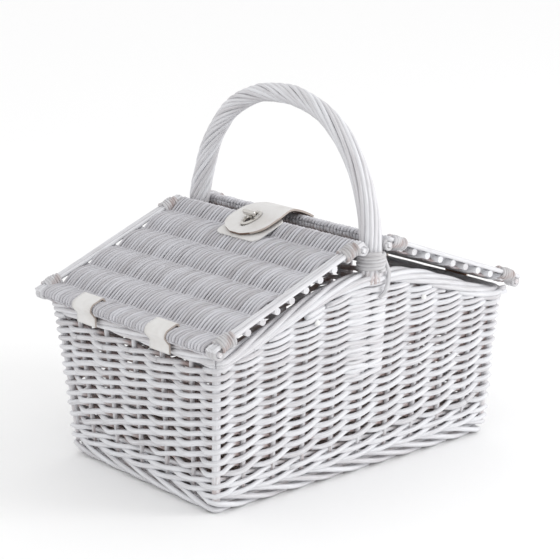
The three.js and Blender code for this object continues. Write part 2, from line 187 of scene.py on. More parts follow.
@dataclass(frozen=True)
class WillowFinish:
    """Thin white paint over willow, streaked along each rod, with bare willow colour and painted
    shade mixed in the hollows.
    """

    slot: str
    paint: Colour
    streak: Colour
    shaded_bare: Colour
    wear_and_shade_bias: float = 0.0
    roughness: float = 0.62
    bump: float = 0.35
    fibre_scale: tuple[float, float, float] = (42.0, 700.0, 700.0)
    patch_scale: float = 70.0
    coat_range: tuple[float, float] = (0.50, 0.92)
    wear_and_shade_range: tuple[float, float] = (0.95, 1.55)

    def material(self) -> bpy.types.Material:
        """Makes the material, which reads each rod's grain, its tone and its share of bare willow
        colour and painted shade.
        """
        material, tree, shader = new_material(self.slot)
        link = tree.links.new
        grain = add_node(tree, "ShaderNodeAttribute", attribute_name="grain")
        tone = add_node(tree, "ShaderNodeAttribute", attribute_name="tone")
        raw = add_node(tree, "ShaderNodeAttribute", attribute_name="raw")
        place = add_node(tree, "ShaderNodeTexCoord")
        stretch = add_node(tree, "ShaderNodeMapping")
        stretch.inputs["Scale"].default_value = self.fibre_scale
        link(grain.outputs["Vector"], stretch.inputs["Vector"])
        fibre = add_node(tree, "ShaderNodeTexNoise", Scale=1.0, Detail=3.0, Roughness=0.6)
        link(stretch.outputs["Vector"], fibre.inputs["Vector"])
        patch = add_node(tree, "ShaderNodeTexNoise", Scale=self.patch_scale, Detail=2.0)
        link(place.outputs["Object"], patch.inputs["Vector"])
        streaked = summed(tree, fibre.outputs["Fac"], tone.outputs["Fac"], 0.28)
        coat = mixed(tree, ranged(tree, streaked, *self.coat_range), self.paint, self.streak)
        # Bare willow colour mixes in where the rod's attribute and the noise are high: partly
        # thin, worn paint and partly painted shade in the hollows between rods.
        wear_and_shade = summed(tree, raw.outputs["Fac"], fibre.outputs["Fac"], 0.7)
        wear_and_shade = summed(tree, wear_and_shade, patch.outputs["Fac"], 0.5)
        low, high = (edge - self.wear_and_shade_bias for edge in self.wear_and_shade_range)
        colour = mixed(tree, ranged(tree, wear_and_shade, low, high), coat, self.shaded_bare)
        link(colour, shader.inputs["Base Color"])
        relief = add_node(tree, "ShaderNodeBump", Strength=self.bump, Distance=0.0006)
        link(fibre.outputs["Fac"], relief.inputs["Height"])
        link(relief.outputs["Normal"], shader.inputs["Normal"])
        shader.inputs["Roughness"].default_value = self.roughness
        shader.inputs["Specular IOR Level"].default_value = 0.3
        return material


@dataclass(frozen=True)
class LeatherFinish:
    """Leather with a fine pebble and slow changes of tone."""

    name: str
    colour: Colour
    shade: Colour
    pebble: float = 850.0
    roughness: float = 0.5

    def material(self) -> bpy.types.Material:
        """Makes the material on object coordinates."""
        material, tree, shader = new_material(self.name)
        link = tree.links.new
        place = add_node(tree, "ShaderNodeTexCoord")
        cloud = add_node(tree, "ShaderNodeTexNoise", Scale=45.0, Detail=4.0)
        cells = add_node(tree, "ShaderNodeTexVoronoi", Scale=self.pebble)
        for made in (cloud, cells):
            link(place.outputs["Object"], made.inputs["Vector"])
        shade = ranged(tree, cloud.outputs["Fac"], 0.42, 0.72)
        link(mixed(tree, shade, self.colour, self.shade), shader.inputs["Base Color"])
        relief = add_node(tree, "ShaderNodeBump", Strength=0.25, Distance=0.0003)
        link(cells.outputs["Distance"], relief.inputs["Height"])
        link(relief.outputs["Normal"], shader.inputs["Normal"])
        shader.inputs["Roughness"].default_value = self.roughness
        return material


@dataclass(frozen=True)
class PlainFinish:
    """An even finish with a little unevenness in its gloss."""

    name: str
    colour: Colour
    metallic: float
    roughness: float

    def material(self) -> bpy.types.Material:
        """Makes the material on object coordinates."""
        material, tree, shader = new_material(self.name)
        place = add_node(tree, "ShaderNodeTexCoord")
        cloud = add_node(tree, "ShaderNodeTexNoise", Scale=180.0, Detail=3.0)
        tree.links.new(place.outputs["Object"], cloud.inputs["Vector"])
        rough = add_node(tree, "ShaderNodeMapRange", To_Min=self.roughness * 0.8)
        rough.inputs["To Max"].default_value = self.roughness * 1.25
        tree.links.new(cloud.outputs["Fac"], rough.inputs["Value"])
        tree.links.new(rough.outputs["Result"], shader.inputs["Roughness"])
        shader.inputs["Base Color"].default_value = (*self.colour, 1.0)
        shader.inputs["Metallic"].default_value = self.metallic
        return material


# Bare willow colours, darkened to serve as painted shade in the hollows as well as bare wood.
SHADED_BARE_WILLOW = (0.31, 0.185, 0.155)
SHADED_WORN_WILLOW = (0.42, 0.29, 0.26)
WHITE_WILLOW = WillowFinish("white_willow", (0.76, 0.765, 0.79), (0.57, 0.555, 0.57), SHADED_WORN_WILLOW)
# The lid weave's paint is a darker, bluer copy of the white paint: painted shade for lids that
# face away from the light.
THIN_SHADED_WILLOW = WillowFinish("thin_willow", (0.64, 0.64, 0.675), (0.44, 0.425, 0.44), SHADED_BARE_WILLOW)
LASHING_WILLOW = WillowFinish(
    "lashing_willow", (0.64, 0.64, 0.66), (0.44, 0.42, 0.42), SHADED_BARE_WILLOW, wear_and_shade_bias=0.05
)
RAW_WILLOW = WillowFinish(
    "raw_willow", (0.62, 0.58, 0.55), (0.42, 0.35, 0.31), SHADED_BARE_WILLOW, wear_and_shade_bias=0.2
)
CREAM_LEATHER = LeatherFinish("cream_leather", (0.74, 0.73, 0.72), (0.66, 0.64, 0.62))
LEATHER_BACK = LeatherFinish("leather_back", (0.20, 0.12, 0.085), (0.13, 0.08, 0.06), 600.0, 0.8)
LEATHER_EDGE = LeatherFinish("leather_edge", (0.50, 0.44, 0.40), (0.40, 0.34, 0.30), 900.0, 0.7)
NICKEL = PlainFinish("nickel", (0.62, 0.60, 0.57), 1.0, 0.26)
WHITE_STUD = PlainFinish("white_stud", (0.86, 0.86, 0.85), 0.0, 0.35)


class Palette:
    """Makes each finish's material once and hands it out."""

    def __init__(self) -> None:
        """Starts with no materials made."""
        self._made: dict[object, bpy.types.Material] = {}

    def __getitem__(self, finish: object) -> bpy.types.Material:
        """Gives a finish's material."""
        if finish not in self._made:
            self._made[finish] = finish.material()
        return self._made[finish]


# --- sweeping rods -----------------------------------------------------------------------


def carried_frames(path: np.ndarray) -> tuple[np.ndarray, np.ndarray]:
    """Finds two directions square to a path, carried along it without twist.

    Args:
        path: The path's points, one row each.

    Returns:
        The two directions at each point.
    """
    tangent = np.gradient(path, axis=0)
    tangent /= np.linalg.norm(tangent, axis=1)[:, None]
    helper = np.array((0.0, 0.0, 1.0)) if abs(tangent[0][2]) < 0.8 else np.array((1.0, 0.0, 0.0))
    first = np.empty_like(path)
    carried = helper
    for i, ahead in enumerate(tangent):
        carried = carried - ahead * carried.dot(ahead)
        carried = carried / np.linalg.norm(carried)
        first[i] = carried
    return first, np.cross(tangent, first)


def smooth_step(value: np.ndarray, low: float, high: float) -> np.ndarray:
    """Rises smoothly from 0 at the low value to 1 at the high one."""
    share = np.clip((value - low) / (high - low), 0.0, 1.0)
    return share * share * (3.0 - 2.0 * share)


class RodMaker:
    """Makes and keeps unit rods, from which every bent rod is shaped."""

    def __init__(self) -> None:
        """Starts with no unit rods."""
        self._made: dict[tuple[int, int], tuple[bpy.types.Mesh, np.ndarray, np.ndarray]] = {}

    def unit(self, rings: int, sides: int) -> tuple[bpy.types.Mesh, np.ndarray, np.ndarray]:
        """Gives a rod of radius 1 and length 1 with rings of edges across it.

        Args:
            rings: How many rings of vertices the rod has.
            sides: How many sides it has.

        Returns:
            The mesh, and each vertex's ring and angle.
        """
        if (rings, sides) not in self._made:
            rod = bmesh.new()
            middle = Matrix.Translation((0.0, 0.0, 0.5))
            bmesh.ops.create_cone(
                rod, cap_ends=True, segments=sides, radius1=1, radius2=1, depth=1, matrix=middle
            )
            long = [e for e in rod.edges if abs(e.verts[0].co.z - e.verts[1].co.z) > 0.5]
            bmesh.ops.subdivide_edges(rod, edges=long, cuts=rings - 2)
            for face in rod.faces:
                face.smooth = abs(face.normal.z) < 0.5
            mesh = bpy.data.meshes.new("unit_rod")
            rod.to_mesh(mesh)
            rod.free()
            places = np.empty(len(mesh.vertices) * 3)
            mesh.vertices.foreach_get("co", places)
            x, y, z = places.reshape(-1, 3).T
            ring = np.rint(z * (rings - 1)).astype(int)
            self._made[rings, sides] = (mesh, ring, np.arctan2(y, x))
        return self._made[rings, sides]

    def forget(self) -> None:
        """Removes the unit rods, which aren't part of the model."""
        for mesh, _, _ in self._made.values():
            bpy.data.meshes.remove(mesh)
        self._made.clear()


RODS = RodMaker()


class Bundle:
    """Gathers bent rods into one piece, with the attributes that the willow finish reads."""

    def __init__(self, name: str, seed: int, sides: int = 7) -> None:
        """Starts an empty piece.

        Args:
            name: The piece's name.
            seed: Where its random choices start.
            sides: How many sides its rods have.
        """
        self.name = name
        self.sides = sides
        self.random = np.random.default_rng(seed)
        self._mesh = bmesh.new()
        self._points: list[np.ndarray] = []
        self._grain: list[np.ndarray] = []
        self._tone: list[np.ndarray] = []
        self._bare_and_shade: list[np.ndarray] = []

    def add(
        self,
        path: np.ndarray,
        radius: float | np.ndarray,
        raw: float | np.ndarray = 0.0,
        tone: float | None = None,
    ) -> None:
        """Adds a rod along a path.

        Args:
            path: The rod's centreline, one point a row.
            radius: Its radius, the same all along or one for each point.
            raw: How much bare willow colour and painted shade it shows, from 0 to 1, all along or
                at each point.
            tone: How grey its paint is, from 0 to 1, or None for a random choice.
        """
        rings = len(path)
        unit, ring, angle = RODS.unit(rings, self.sides)
        self._mesh.from_mesh(unit)
        radii = np.broadcast_to(np.asarray(radius, float), (rings,))
        first, second = carried_frames(path)
        across = np.cos(angle) * radii[ring]
        along_second = np.sin(angle) * radii[ring]
        spread = across[:, None] * first[ring] + along_second[:, None] * second[ring]
        self._points.append(path[ring] + spread)
        steps = np.linalg.norm(np.diff(path, axis=0), axis=1)
        travelled = np.concatenate(([0.0], np.cumsum(steps))) + self.random.uniform(0.0, 4000.0)
        self._grain.append(np.column_stack((travelled[ring], across, along_second)))
        shade = self.random.uniform(0.0, 1.0) if tone is None else tone
        self._tone.append(np.full(len(ring), shade))
        self._bare_and_shade.append(np.broadcast_to(np.asarray(raw, float), (rings,))[ring])

    def finish(self, finish: WillowFinish, palette: Palette, body: str) -> bpy.types.Object:
        """Makes the piece.

        Args:
            finish: The willow finish that it wears.
            palette: Where its material comes from.
            body: The body that it rides on.

        Returns:
            The piece.
        """
        data = bpy.data.meshes.new(self.name)
        self._mesh.to_mesh(data)
        self._mesh.free()
        data.vertices.foreach_set("co", (np.concatenate(self._points) * MM).ravel())
        grain = data.attributes.new("grain", "FLOAT_VECTOR", "POINT")
        grain.data.foreach_set("vector", (np.concatenate(self._grain) * MM).ravel())
        for name, values in (("tone", self._tone), ("raw", self._bare_and_shade)):
            layer = data.attributes.new(name, "FLOAT", "POINT")
            layer.data.foreach_set("value", np.concatenate(values))
        data.update()
        return placed(self.name, data, [palette[finish]], body)


def placed(
    name: str,
    data: bpy.types.Mesh,
    materials: list[bpy.types.Material],
    body: str | None,
) -> bpy.types.Object:
    """Puts a mesh in the scene as a piece.

    Args:
        name: The piece's name.
        data: Its mesh, in metres.
        materials: Its materials.
        body: The body that it rides on, or None to leave it on no body.

    Returns:
        The piece.
    """
    obj = bpy.data.objects.new(name, data)
    bpy.context.collection.objects.link(obj)
    for material in materials:
        data.materials.append(material)
    if body:
        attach(obj, body)
    LOG.info("%s: %d faces on %s", name, len(data.polygons), body or "two bodies")
    return obj


# --- the plan, read from the frame -------------------------------------------------------


def box_mm(node: str) -> tuple[np.ndarray, np.ndarray]:
    """Gives the lowest and highest corner of a node, in millimetres."""
    low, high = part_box(node)
    return np.array(low) / MM, np.array(high) / MM


@dataclass
class Plan:
    """Where the walls, the stakes, the rim, the lids and the handle stand."""

    stake_inset: float = 7.5
    corner_radius: float = 4.5
    long_stakes: int = 9
    short_stakes: int = 5
    long_pitch: float = 38.0
    short_pitch: float = 44.0
    rim_half_height: float = 8.5
    rim_half_length: float = 200.0
    handle_inset: float = 5.0
    foot: np.ndarray = field(init=False)
    flare: np.ndarray = field(init=False)
    rim_end: float = field(init=False)
    rim_middle: float = field(init=False)
    hinge: np.ndarray = field(init=False)
    ridge: np.ndarray = field(init=False)

    def __post_init__(self) -> None:
        """Reads the driving dimensions from the frame."""
        foot = box_mm("foot_border")[1]
        wale = box_mm("upsett_wale")[1]
        slope = (wale - foot)[:2] / (wale[2] - foot[2])
        self.foot = foot[:2] - slope * foot[2]
        self.flare = slope / self.foot
        gaps = 0.6
        self.rim_end = box_mm("corner_post_left_front")[1][2] + self.rim_half_height + gaps
        self.rim_middle = box_mm("wall_weave")[1][2] + self.rim_half_height + gaps / 2
        outer = box_mm("left_lid_stick_1")
        inner = box_mm("left_lid_stick_6")
        self.hinge = (outer[0] + outer[1]) / 2
        self.ridge = (inner[0] + inner[1]) / 2
        self._trace()

    def _trace(self) -> None:
        """Traces the line that the stakes stand on, from the middle of the near left corner."""
        half_x, half_y = self.foot - self.stake_inset
        radius = self.corner_radius
        corner_x, corner_y = half_x - radius, half_y - radius
        turns = ((-1, -1, -135, -90), (1, -1, -90, 0), (1, 1, 0, 90), (-1, 1, 90, 180))
        angles, centres = [], []
        for sign_x, sign_y, low, high in (*turns, (-1, -1, 180, 225)):
            arc = np.radians(np.linspace(low, high, 13))
            angles.append(arc)
            centres.append(np.tile((sign_x * corner_x, sign_y * corner_y), (len(arc), 1)))
        turn = np.concatenate(angles)
        self._out = np.column_stack((np.cos(turn), np.sin(turn)))
        self._line = np.concatenate(centres) + radius * self._out
        steps = np.linalg.norm(np.diff(self._line, axis=0), axis=1)
        self._length = np.concatenate(([0.0], np.cumsum(steps)))
        half_arc = radius * math.pi / 4
        stakes = [0.0]
        for straight, count, pitch in (
            (2 * corner_x, self.long_stakes, self.long_pitch),
            (2 * corner_y, self.short_stakes, self.short_pitch),
        ) * 2:
            start = stakes[-1] + half_arc + straight / 2
            stakes += [start + (i - (count - 1) / 2) * pitch for i in range(count)]
            stakes.append(start + straight / 2 + half_arc)
        self._stakes = np.array(stakes)
        self.stake_count = len(stakes) - 1

    def wall(self, stake: np.ndarray, out: np.ndarray, z: np.ndarray) -> np.ndarray:
        """Finds points of the leaning walls.

        Args:
            stake: How far round they are, counted in stakes.
            out: How far they stand out from the line of the stakes.
            z: How high they are.

        Returns:
            The points, one a row.
        """
        stake = np.mod(stake, self.stake_count)
        length = np.interp(stake, np.arange(self.stake_count + 1), self._stakes)
        columns = []
        for axis in (0, 1):
            place = np.interp(length, self._length, self._line[:, axis])
            normal = np.interp(length, self._length, self._out[:, axis])
            columns.append((place + normal * out) * (1.0 + self.flare[axis] * z))
        return np.column_stack((*columns, z * np.ones_like(stake)))

    def rim_height(self, x: np.ndarray) -> np.ndarray:
        """Gives the height of the rim's middle at places along the basket."""
        reach = np.minimum(np.abs(x) / self.rim_half_length, 1.0)
        rise = self.rim_middle - self.rim_end
        return self.rim_end + rise * np.cos(math.pi / 2 * reach) ** 1.5

    def stake_at(self, x: np.ndarray, face: Face) -> np.ndarray:
        """Counts the stakes from the near left corner to a place on a long side."""
        middle = (self.long_stakes + 1) / 2
        if face is Face.FRONT:
            return middle + x / self.long_pitch
        return middle + self.stake_count // 2 - x / self.long_pitch

    def leg_y(self, z: float | np.ndarray) -> float | np.ndarray:
        """Gives how far the handle's leg stands from the middle at a height."""
        return (self.foot[1] - self.handle_inset) * (1.0 + self.flare[1] * z)


# --- the body ----------------------------------------------------------------------------


@dataclass
class Body:
    """The woven walls: border, wale, paired rows, stakes and base."""

    plan: Plan
    rod_radius: float = 3.0
    first_row: float = 45.5
    last_row: float = 154.0
    open_pitch: float = 12.2
    close_pitch: float = 8.4
    wave: float = 4.9
    lag: float = 0.15
    overlap: float = 0.9
    points_per_stake: int = 8
    wale_rows: tuple[float, float] = (22.6, 32.6)
    wale_wave: float = 5.2
    wale_lift: float = 3.3
    leg_bottom: float = 112.0
    leg_half_width: float = 15.0
    leg_fade: float = 16.0
    leg_rise: float = 3.0
    leg_share: float = 0.95
    hollow_bare_and_shade: float = 0.75
    gable_pitch: float = 7.9
    gable_sag: float = 6.0
    gable_share: float = 0.95
    wale_radius: float = 2.75
    border_radius: float = 2.8
    border_top: float = 18.0
    post_radius: float = 4.4
    stake_radius: float = 2.75
    base_pitch: float = 45.0
    base_radius: float = 2.4
    base_wave: float = 4.0
    long_side_y: float = 105.0

    def build(self, palette: Palette) -> None:
        """Builds every piece of the body."""
        weave = self._rows()
        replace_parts(weave.finish(WHITE_WILLOW, palette, "basket"), "wall_weave")
        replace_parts(self._wale().finish(WHITE_WILLOW, palette, "basket"), "upsett_wale")
        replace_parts(self._border().finish(WHITE_WILLOW, palette, "basket"), "foot_border")
        posts = [f"corner_post_{e}_{f}" for e in ("left", "right") for f in ("front", "back")]
        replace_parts(self._stakes().finish(WHITE_WILLOW, palette, "basket"), *posts)
        sticks = [f"base_stick_{i}" for i in range(1, 6)]
        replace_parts(self._base().finish(RAW_WILLOW, palette, "basket"), "base_weave", *sticks)

    def _heights(self) -> list[tuple[float, float]]:
        """Gives each full row's height and the pitch there."""
        rows, z = [], self.first_row
        while z < self.last_row:
            share = (z - self.first_row) / (self.last_row - self.first_row)
            pitch = self.open_pitch + (self.close_pitch - self.open_pitch) * share**0.8
            rows.append((z, pitch))
            z += pitch
        return rows

    def _lift(self, pitch: float) -> float:
        """Gives how far a pair's rods swing up and down for a row to close on the next."""
        return max(pitch / 2.0 - self.rod_radius, 0.5) + self.overlap

    def _past_leg(self, x: np.ndarray, z: np.ndarray, out: np.ndarray) -> np.ndarray:
        """Moves a row out in front of the handle's flat leg, where it meets one."""
        edge = self.leg_half_width
        beside = 1.0 - smooth_step(np.abs(x), edge, edge + self.leg_fade)
        above = smooth_step(z, self.leg_bottom - self.leg_rise, self.leg_bottom + self.leg_rise)
        share = beside * above
        return out * (1.0 - share) + np.maximum(out, self.leg_share * self.wave) * share

    def _paired(self, stake: np.ndarray, z: np.ndarray, phase: int, lift: float) -> tuple:
        """Works out how one rod of a pair swings about its row.

        Args:
            stake: Places along the row, counted in stakes.
            z: The row's height there.
            phase: 0 or 1, for the first or the second rod of the pair.
            lift: How far the rod swings up and down.

        Returns:
            How far out the rod is and how high.
        """
        turn = math.pi * (stake + phase)
        return self.wave * np.cos(turn), z + lift * np.sin(turn - self.lag)

    def _rows(self) -> Bundle:
        """Weaves the pairs of rods round the stakes, and those of the two gables."""
        bundle = Bundle("wall_rods", 11)
        count = self.plan.stake_count
        rows = self._heights()
        for number, (height, pitch) in enumerate(rows):
            for phase in (0, 1):
                start = 2 * number + 1 - phase + 9
                stake = start + np.linspace(0.0, count, count * self.points_per_stake + 1)
                wobble = self._wobble(bundle, stake, 0.55)
                out, z = self._paired(stake, height + wobble, phase, self._lift(pitch))
                self._lay(bundle, stake, out, z, self.rod_radius)
        height, pitch = rows[-1]
        top = self.plan.rim_middle - self.plan.rim_half_height
        while height + pitch < top - 1.0:
            height += pitch
            pitch = self.gable_pitch
            for face in Face:
                self._gable_pair(bundle, face, height, pitch)
        return bundle

    def _gable_pair(self, bundle: Bundle, face: Face, height: float, pitch: float) -> None:
        """Weaves one pair across a gable, from under the rim to under the rim.

        Args:
            bundle: The piece that the rods join.
            face: The long side that the gable is on.
            height: The height of the pair at the middle.
            pitch: The distance to the next pair.
        """
        reach = self._gable_reach(height) + 4.0
        x = np.linspace(-reach, reach, max(int(reach / 3.2), 12))
        rise = (height - self.last_row) / (self.plan.rim_middle - self.last_row)
        sagged = height - self.gable_sag * rise * (x / reach) ** 2
        stake = self.plan.stake_at(x, face)
        for phase in (0, 1):
            out, z = self._paired(stake, sagged, phase, self._lift(pitch))
            z = np.minimum(z, self.plan.rim_height(x) - 4.0)
            self._lay(bundle, stake, out, z, self.rod_radius * self.gable_share)

    def _gable_reach(self, height: float) -> float:
        """Finds how far from the middle the rim comes down to a row."""
        x = np.linspace(0.0, self.plan.rim_half_length, 401)
        below = self.plan.rim_height(x) - self.plan.rim_half_height + 2.0 < height
        return float(x[np.argmax(below)]) if below.any() else float(x[-1])

    def _wobble(self, bundle: Bundle, stake: np.ndarray, size: float) -> np.ndarray:
        """Gives slow, closed, random unevenness round the basket."""
        total = np.zeros_like(stake)
        for waves in (2, 5, 9, 14):
            phase = bundle.random.uniform(0.0, 2.0 * math.pi)
            total += np.sin(2.0 * math.pi * waves * stake / self.plan.stake_count + phase)
        return total * size / 2.0

    def _lay(
        self, bundle: Bundle, stake: np.ndarray, out: np.ndarray, z: np.ndarray, radius: float
    ) -> None:
        """Lays a rod along a row, with bare willow colour and painted shade where it is inside the
        basket.
        """
        x = self.plan.wall(stake, out, z)[:, 0]
        long_side = np.abs(self.plan.wall(stake, out * 0.0, z)[:, 1]) > self.long_side_y
        passed = np.where(long_side, self._past_leg(x, z, out), out)
        thick = radius * bundle.random.uniform(0.88, 1.1)
        swell = 1.0 + 0.05 * np.sin(stake * 2.3 + bundle.random.uniform(0.0, 6.0))
        # Inside the basket the rod turns towards bare willow colour: painted shade in the hollows,
        # partly thin paint.
        raw = self.hollow_bare_and_shade * smooth_step(-passed, -1.0, self.wave * 0.8)
        bundle.add(self.plan.wall(stake, passed, z), thick * swell, raw)

    def _wale(self) -> Bundle:
        """Twists the two thick rows at the foot, three rods in each."""
        bundle = Bundle("wale_rods", 12)
        count = self.plan.stake_count
        for number, height in enumerate(self.wale_rows):
            stake = number + 1.5 + np.linspace(0.0, 3 * count, 3 * count * 4 + 1)
            turn = 2.0 * math.pi * stake / 3.0
            out = self.wale_wave * np.cos(turn) + 0.6
            z = height + self.wale_lift * np.cos(turn - math.radians(120.0))
            # The inner side of each wale rod gets bare willow colour as painted shade, partly thin
            # paint.
            raw = 0.5 * smooth_step(-out, -1.0, self.wale_wave)
            bundle.add(self.plan.wall(stake, out, z), self.wale_radius, raw, tone=0.25)
        return bundle

    def _border(self) -> Bundle:
        """Lays the slanted rods of the foot border, each over the ends of the ones before."""
        bundle = Bundle("foot_border_rods", 13)
        radius, top = self.border_radius, self.border_top
        for number in range(self.plan.stake_count):
            share = np.linspace(0.0, 1.0, 17)
            stake = number + 0.1 + 2.5 * share
            z = top + (radius + 0.2 - top) * smooth_step(share, 0.0, 0.92)
            out = -1.0 + 6.2 * np.sin(math.pi * np.minimum(share * 1.12, 1.0)) - 3.0 * share**3
            raw = 0.35 * smooth_step(share, 0.8, 1.0)
            bundle.add(self.plan.wall(stake, out, z), radius, raw)
        inner = np.linspace(0.0, self.plan.stake_count, 129)
        for z in (5.6, 11.2):
            path = self.plan.wall(inner, np.full_like(inner, -3.6), np.full_like(inner, z))
            bundle.add(path, 2.7, 0.4)
        return bundle

    def _stakes(self) -> Bundle:
        """Stands the stakes and the four corner posts."""
        bundle = Bundle("stake_rods", 14, sides=8)
        corners = (0, self.plan.long_stakes + 1)
        half = self.plan.stake_count // 2
        for number in range(self.plan.stake_count):
            corner = number % half in corners
            x = self.plan.wall(np.array([number]), np.zeros(1), np.full(1, 160.0))[0, 0]
            top = float(self.plan.rim_height(np.array(x))) - (6.0 if corner else 0.0)
            z = np.linspace(14.0, top, 14)
            radius = self.post_radius if corner else self.stake_radius
            path = self.plan.wall(np.full_like(z, number), np.zeros_like(z), z)
            bundle.add(path, radius, 0.32 + 0.2 * smooth_step(z, 60.0, 20.0))
        return bundle

    def _base(self) -> Bundle:
        """Weaves the base across its five sticks."""
        bundle = Bundle("base_rods", 15, sides=6)
        low, high = box_mm("base_weave")
        middle = (low[2] + high[2]) / 2
        pitch, radius, wave = self.base_pitch, self.base_radius, self.base_wave
        half_x, half_y = high[0] - 2.0, high[1] - 2.0
        count = int(2 * half_x / (2 * radius))
        y = np.linspace(-half_y, half_y, 41)
        for number in range(count + 1):
            x = -half_x + 2 * half_x * number / count
            side = 1.0 if number % 2 else -1.0
            z = middle + side * wave * np.cos(math.pi * (y - 2 * pitch) / pitch)
            near = 1.0 - smooth_step(np.abs(x), half_x - 10.0, half_x + 4.0)
            path = np.column_stack((np.full_like(y, x), y * (0.97 + 0.03 * near), z))
            bundle.add(path, radius, 0.35)
        for number in range(-2, 3):
            x = np.linspace(-half_x, half_x, 12)
            y = np.full_like(x, number * pitch)
            path = np.column_stack((x, y, np.full_like(x, middle)))
            bundle.add(path, 2.2, 0.5)
        return bundle


@dataclass
class Rim:
    """The twisted rim that rises to the middle of each long side."""

    plan: Plan
    rods: int = 6
    turns: int = 5
    rod_radius: float = 3.05
    half_thickness: float = 6.0
    half_height: float = 5.3
    handle_gap: float = 9.0
    end_rise: float = 3.5
    leg_spread: float = 17.0
    long_side_y: float = 100.0
    level: float = 175.0
    tails: tuple[tuple[float, float], ...] = ((163.0, 1.42), (168.5, 1.34))

    def build(self, palette: Palette) -> None:
        """Builds the rim."""
        bundle = Bundle("rim_rods", 21, sides=8)
        count = self.plan.stake_count
        stake = np.linspace(0.0, count, 361)
        ground = self.plan.wall(stake, np.zeros_like(stake), np.full_like(stake, self.level))
        height = self.plan.rim_height(ground[:, 0])
        height = height + self.end_rise * smooth_step(np.abs(ground[:, 0]), 186.0, 198.0)
        on_long_side = np.abs(ground[:, 1]) > self.long_side_y
        beside_leg = np.exp(-((ground[:, 0] / self.leg_spread) ** 2)) * on_long_side
        for number in range(self.rods):
            turn = 2.0 * math.pi * (number / self.rods + self.turns * stake / count)
            uneven = 1.0 + 0.10 * np.sin(stake * 1.7 + number * 1.9)
            out = self.half_thickness * uneven * np.cos(turn)
            away = np.tanh(out / 2.5)
            out = out * (1.0 - beside_leg) + away * self.handle_gap * beside_leg
            z = height + self.half_height * uneven * np.sin(turn)
            # The inner side of each rim rod gets bare willow colour as painted shade, partly thin
            # paint.
            raw = 0.35 * smooth_step(-out, 2.0, 6.0)
            bundle.add(self.plan.wall(stake, out, z), self.rod_radius, raw)
        self._tails(bundle)
        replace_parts(bundle.finish(WHITE_WILLOW, palette, "basket"), "stakes_and_rim")

    def _tails(self, bundle: Bundle) -> None:
        """Runs rod ends straight on past the near right corner.

        Args:
            bundle: The piece that the rod ends join.
        """
        corner = self.plan.long_stakes + 1
        for height, reach in self.tails:
            stakes = np.array((corner - 1.0, corner))
            ends = self.plan.wall(stakes, np.full(2, 3.0), np.full(2, height))
            share = np.linspace(0.0, reach, 12)[:, None]
            bundle.add(ends[0] + (ends[1] - ends[0]) * share, self.rod_radius * 0.85, 0.25)


# --- the handle --------------------------------------------------------------------------


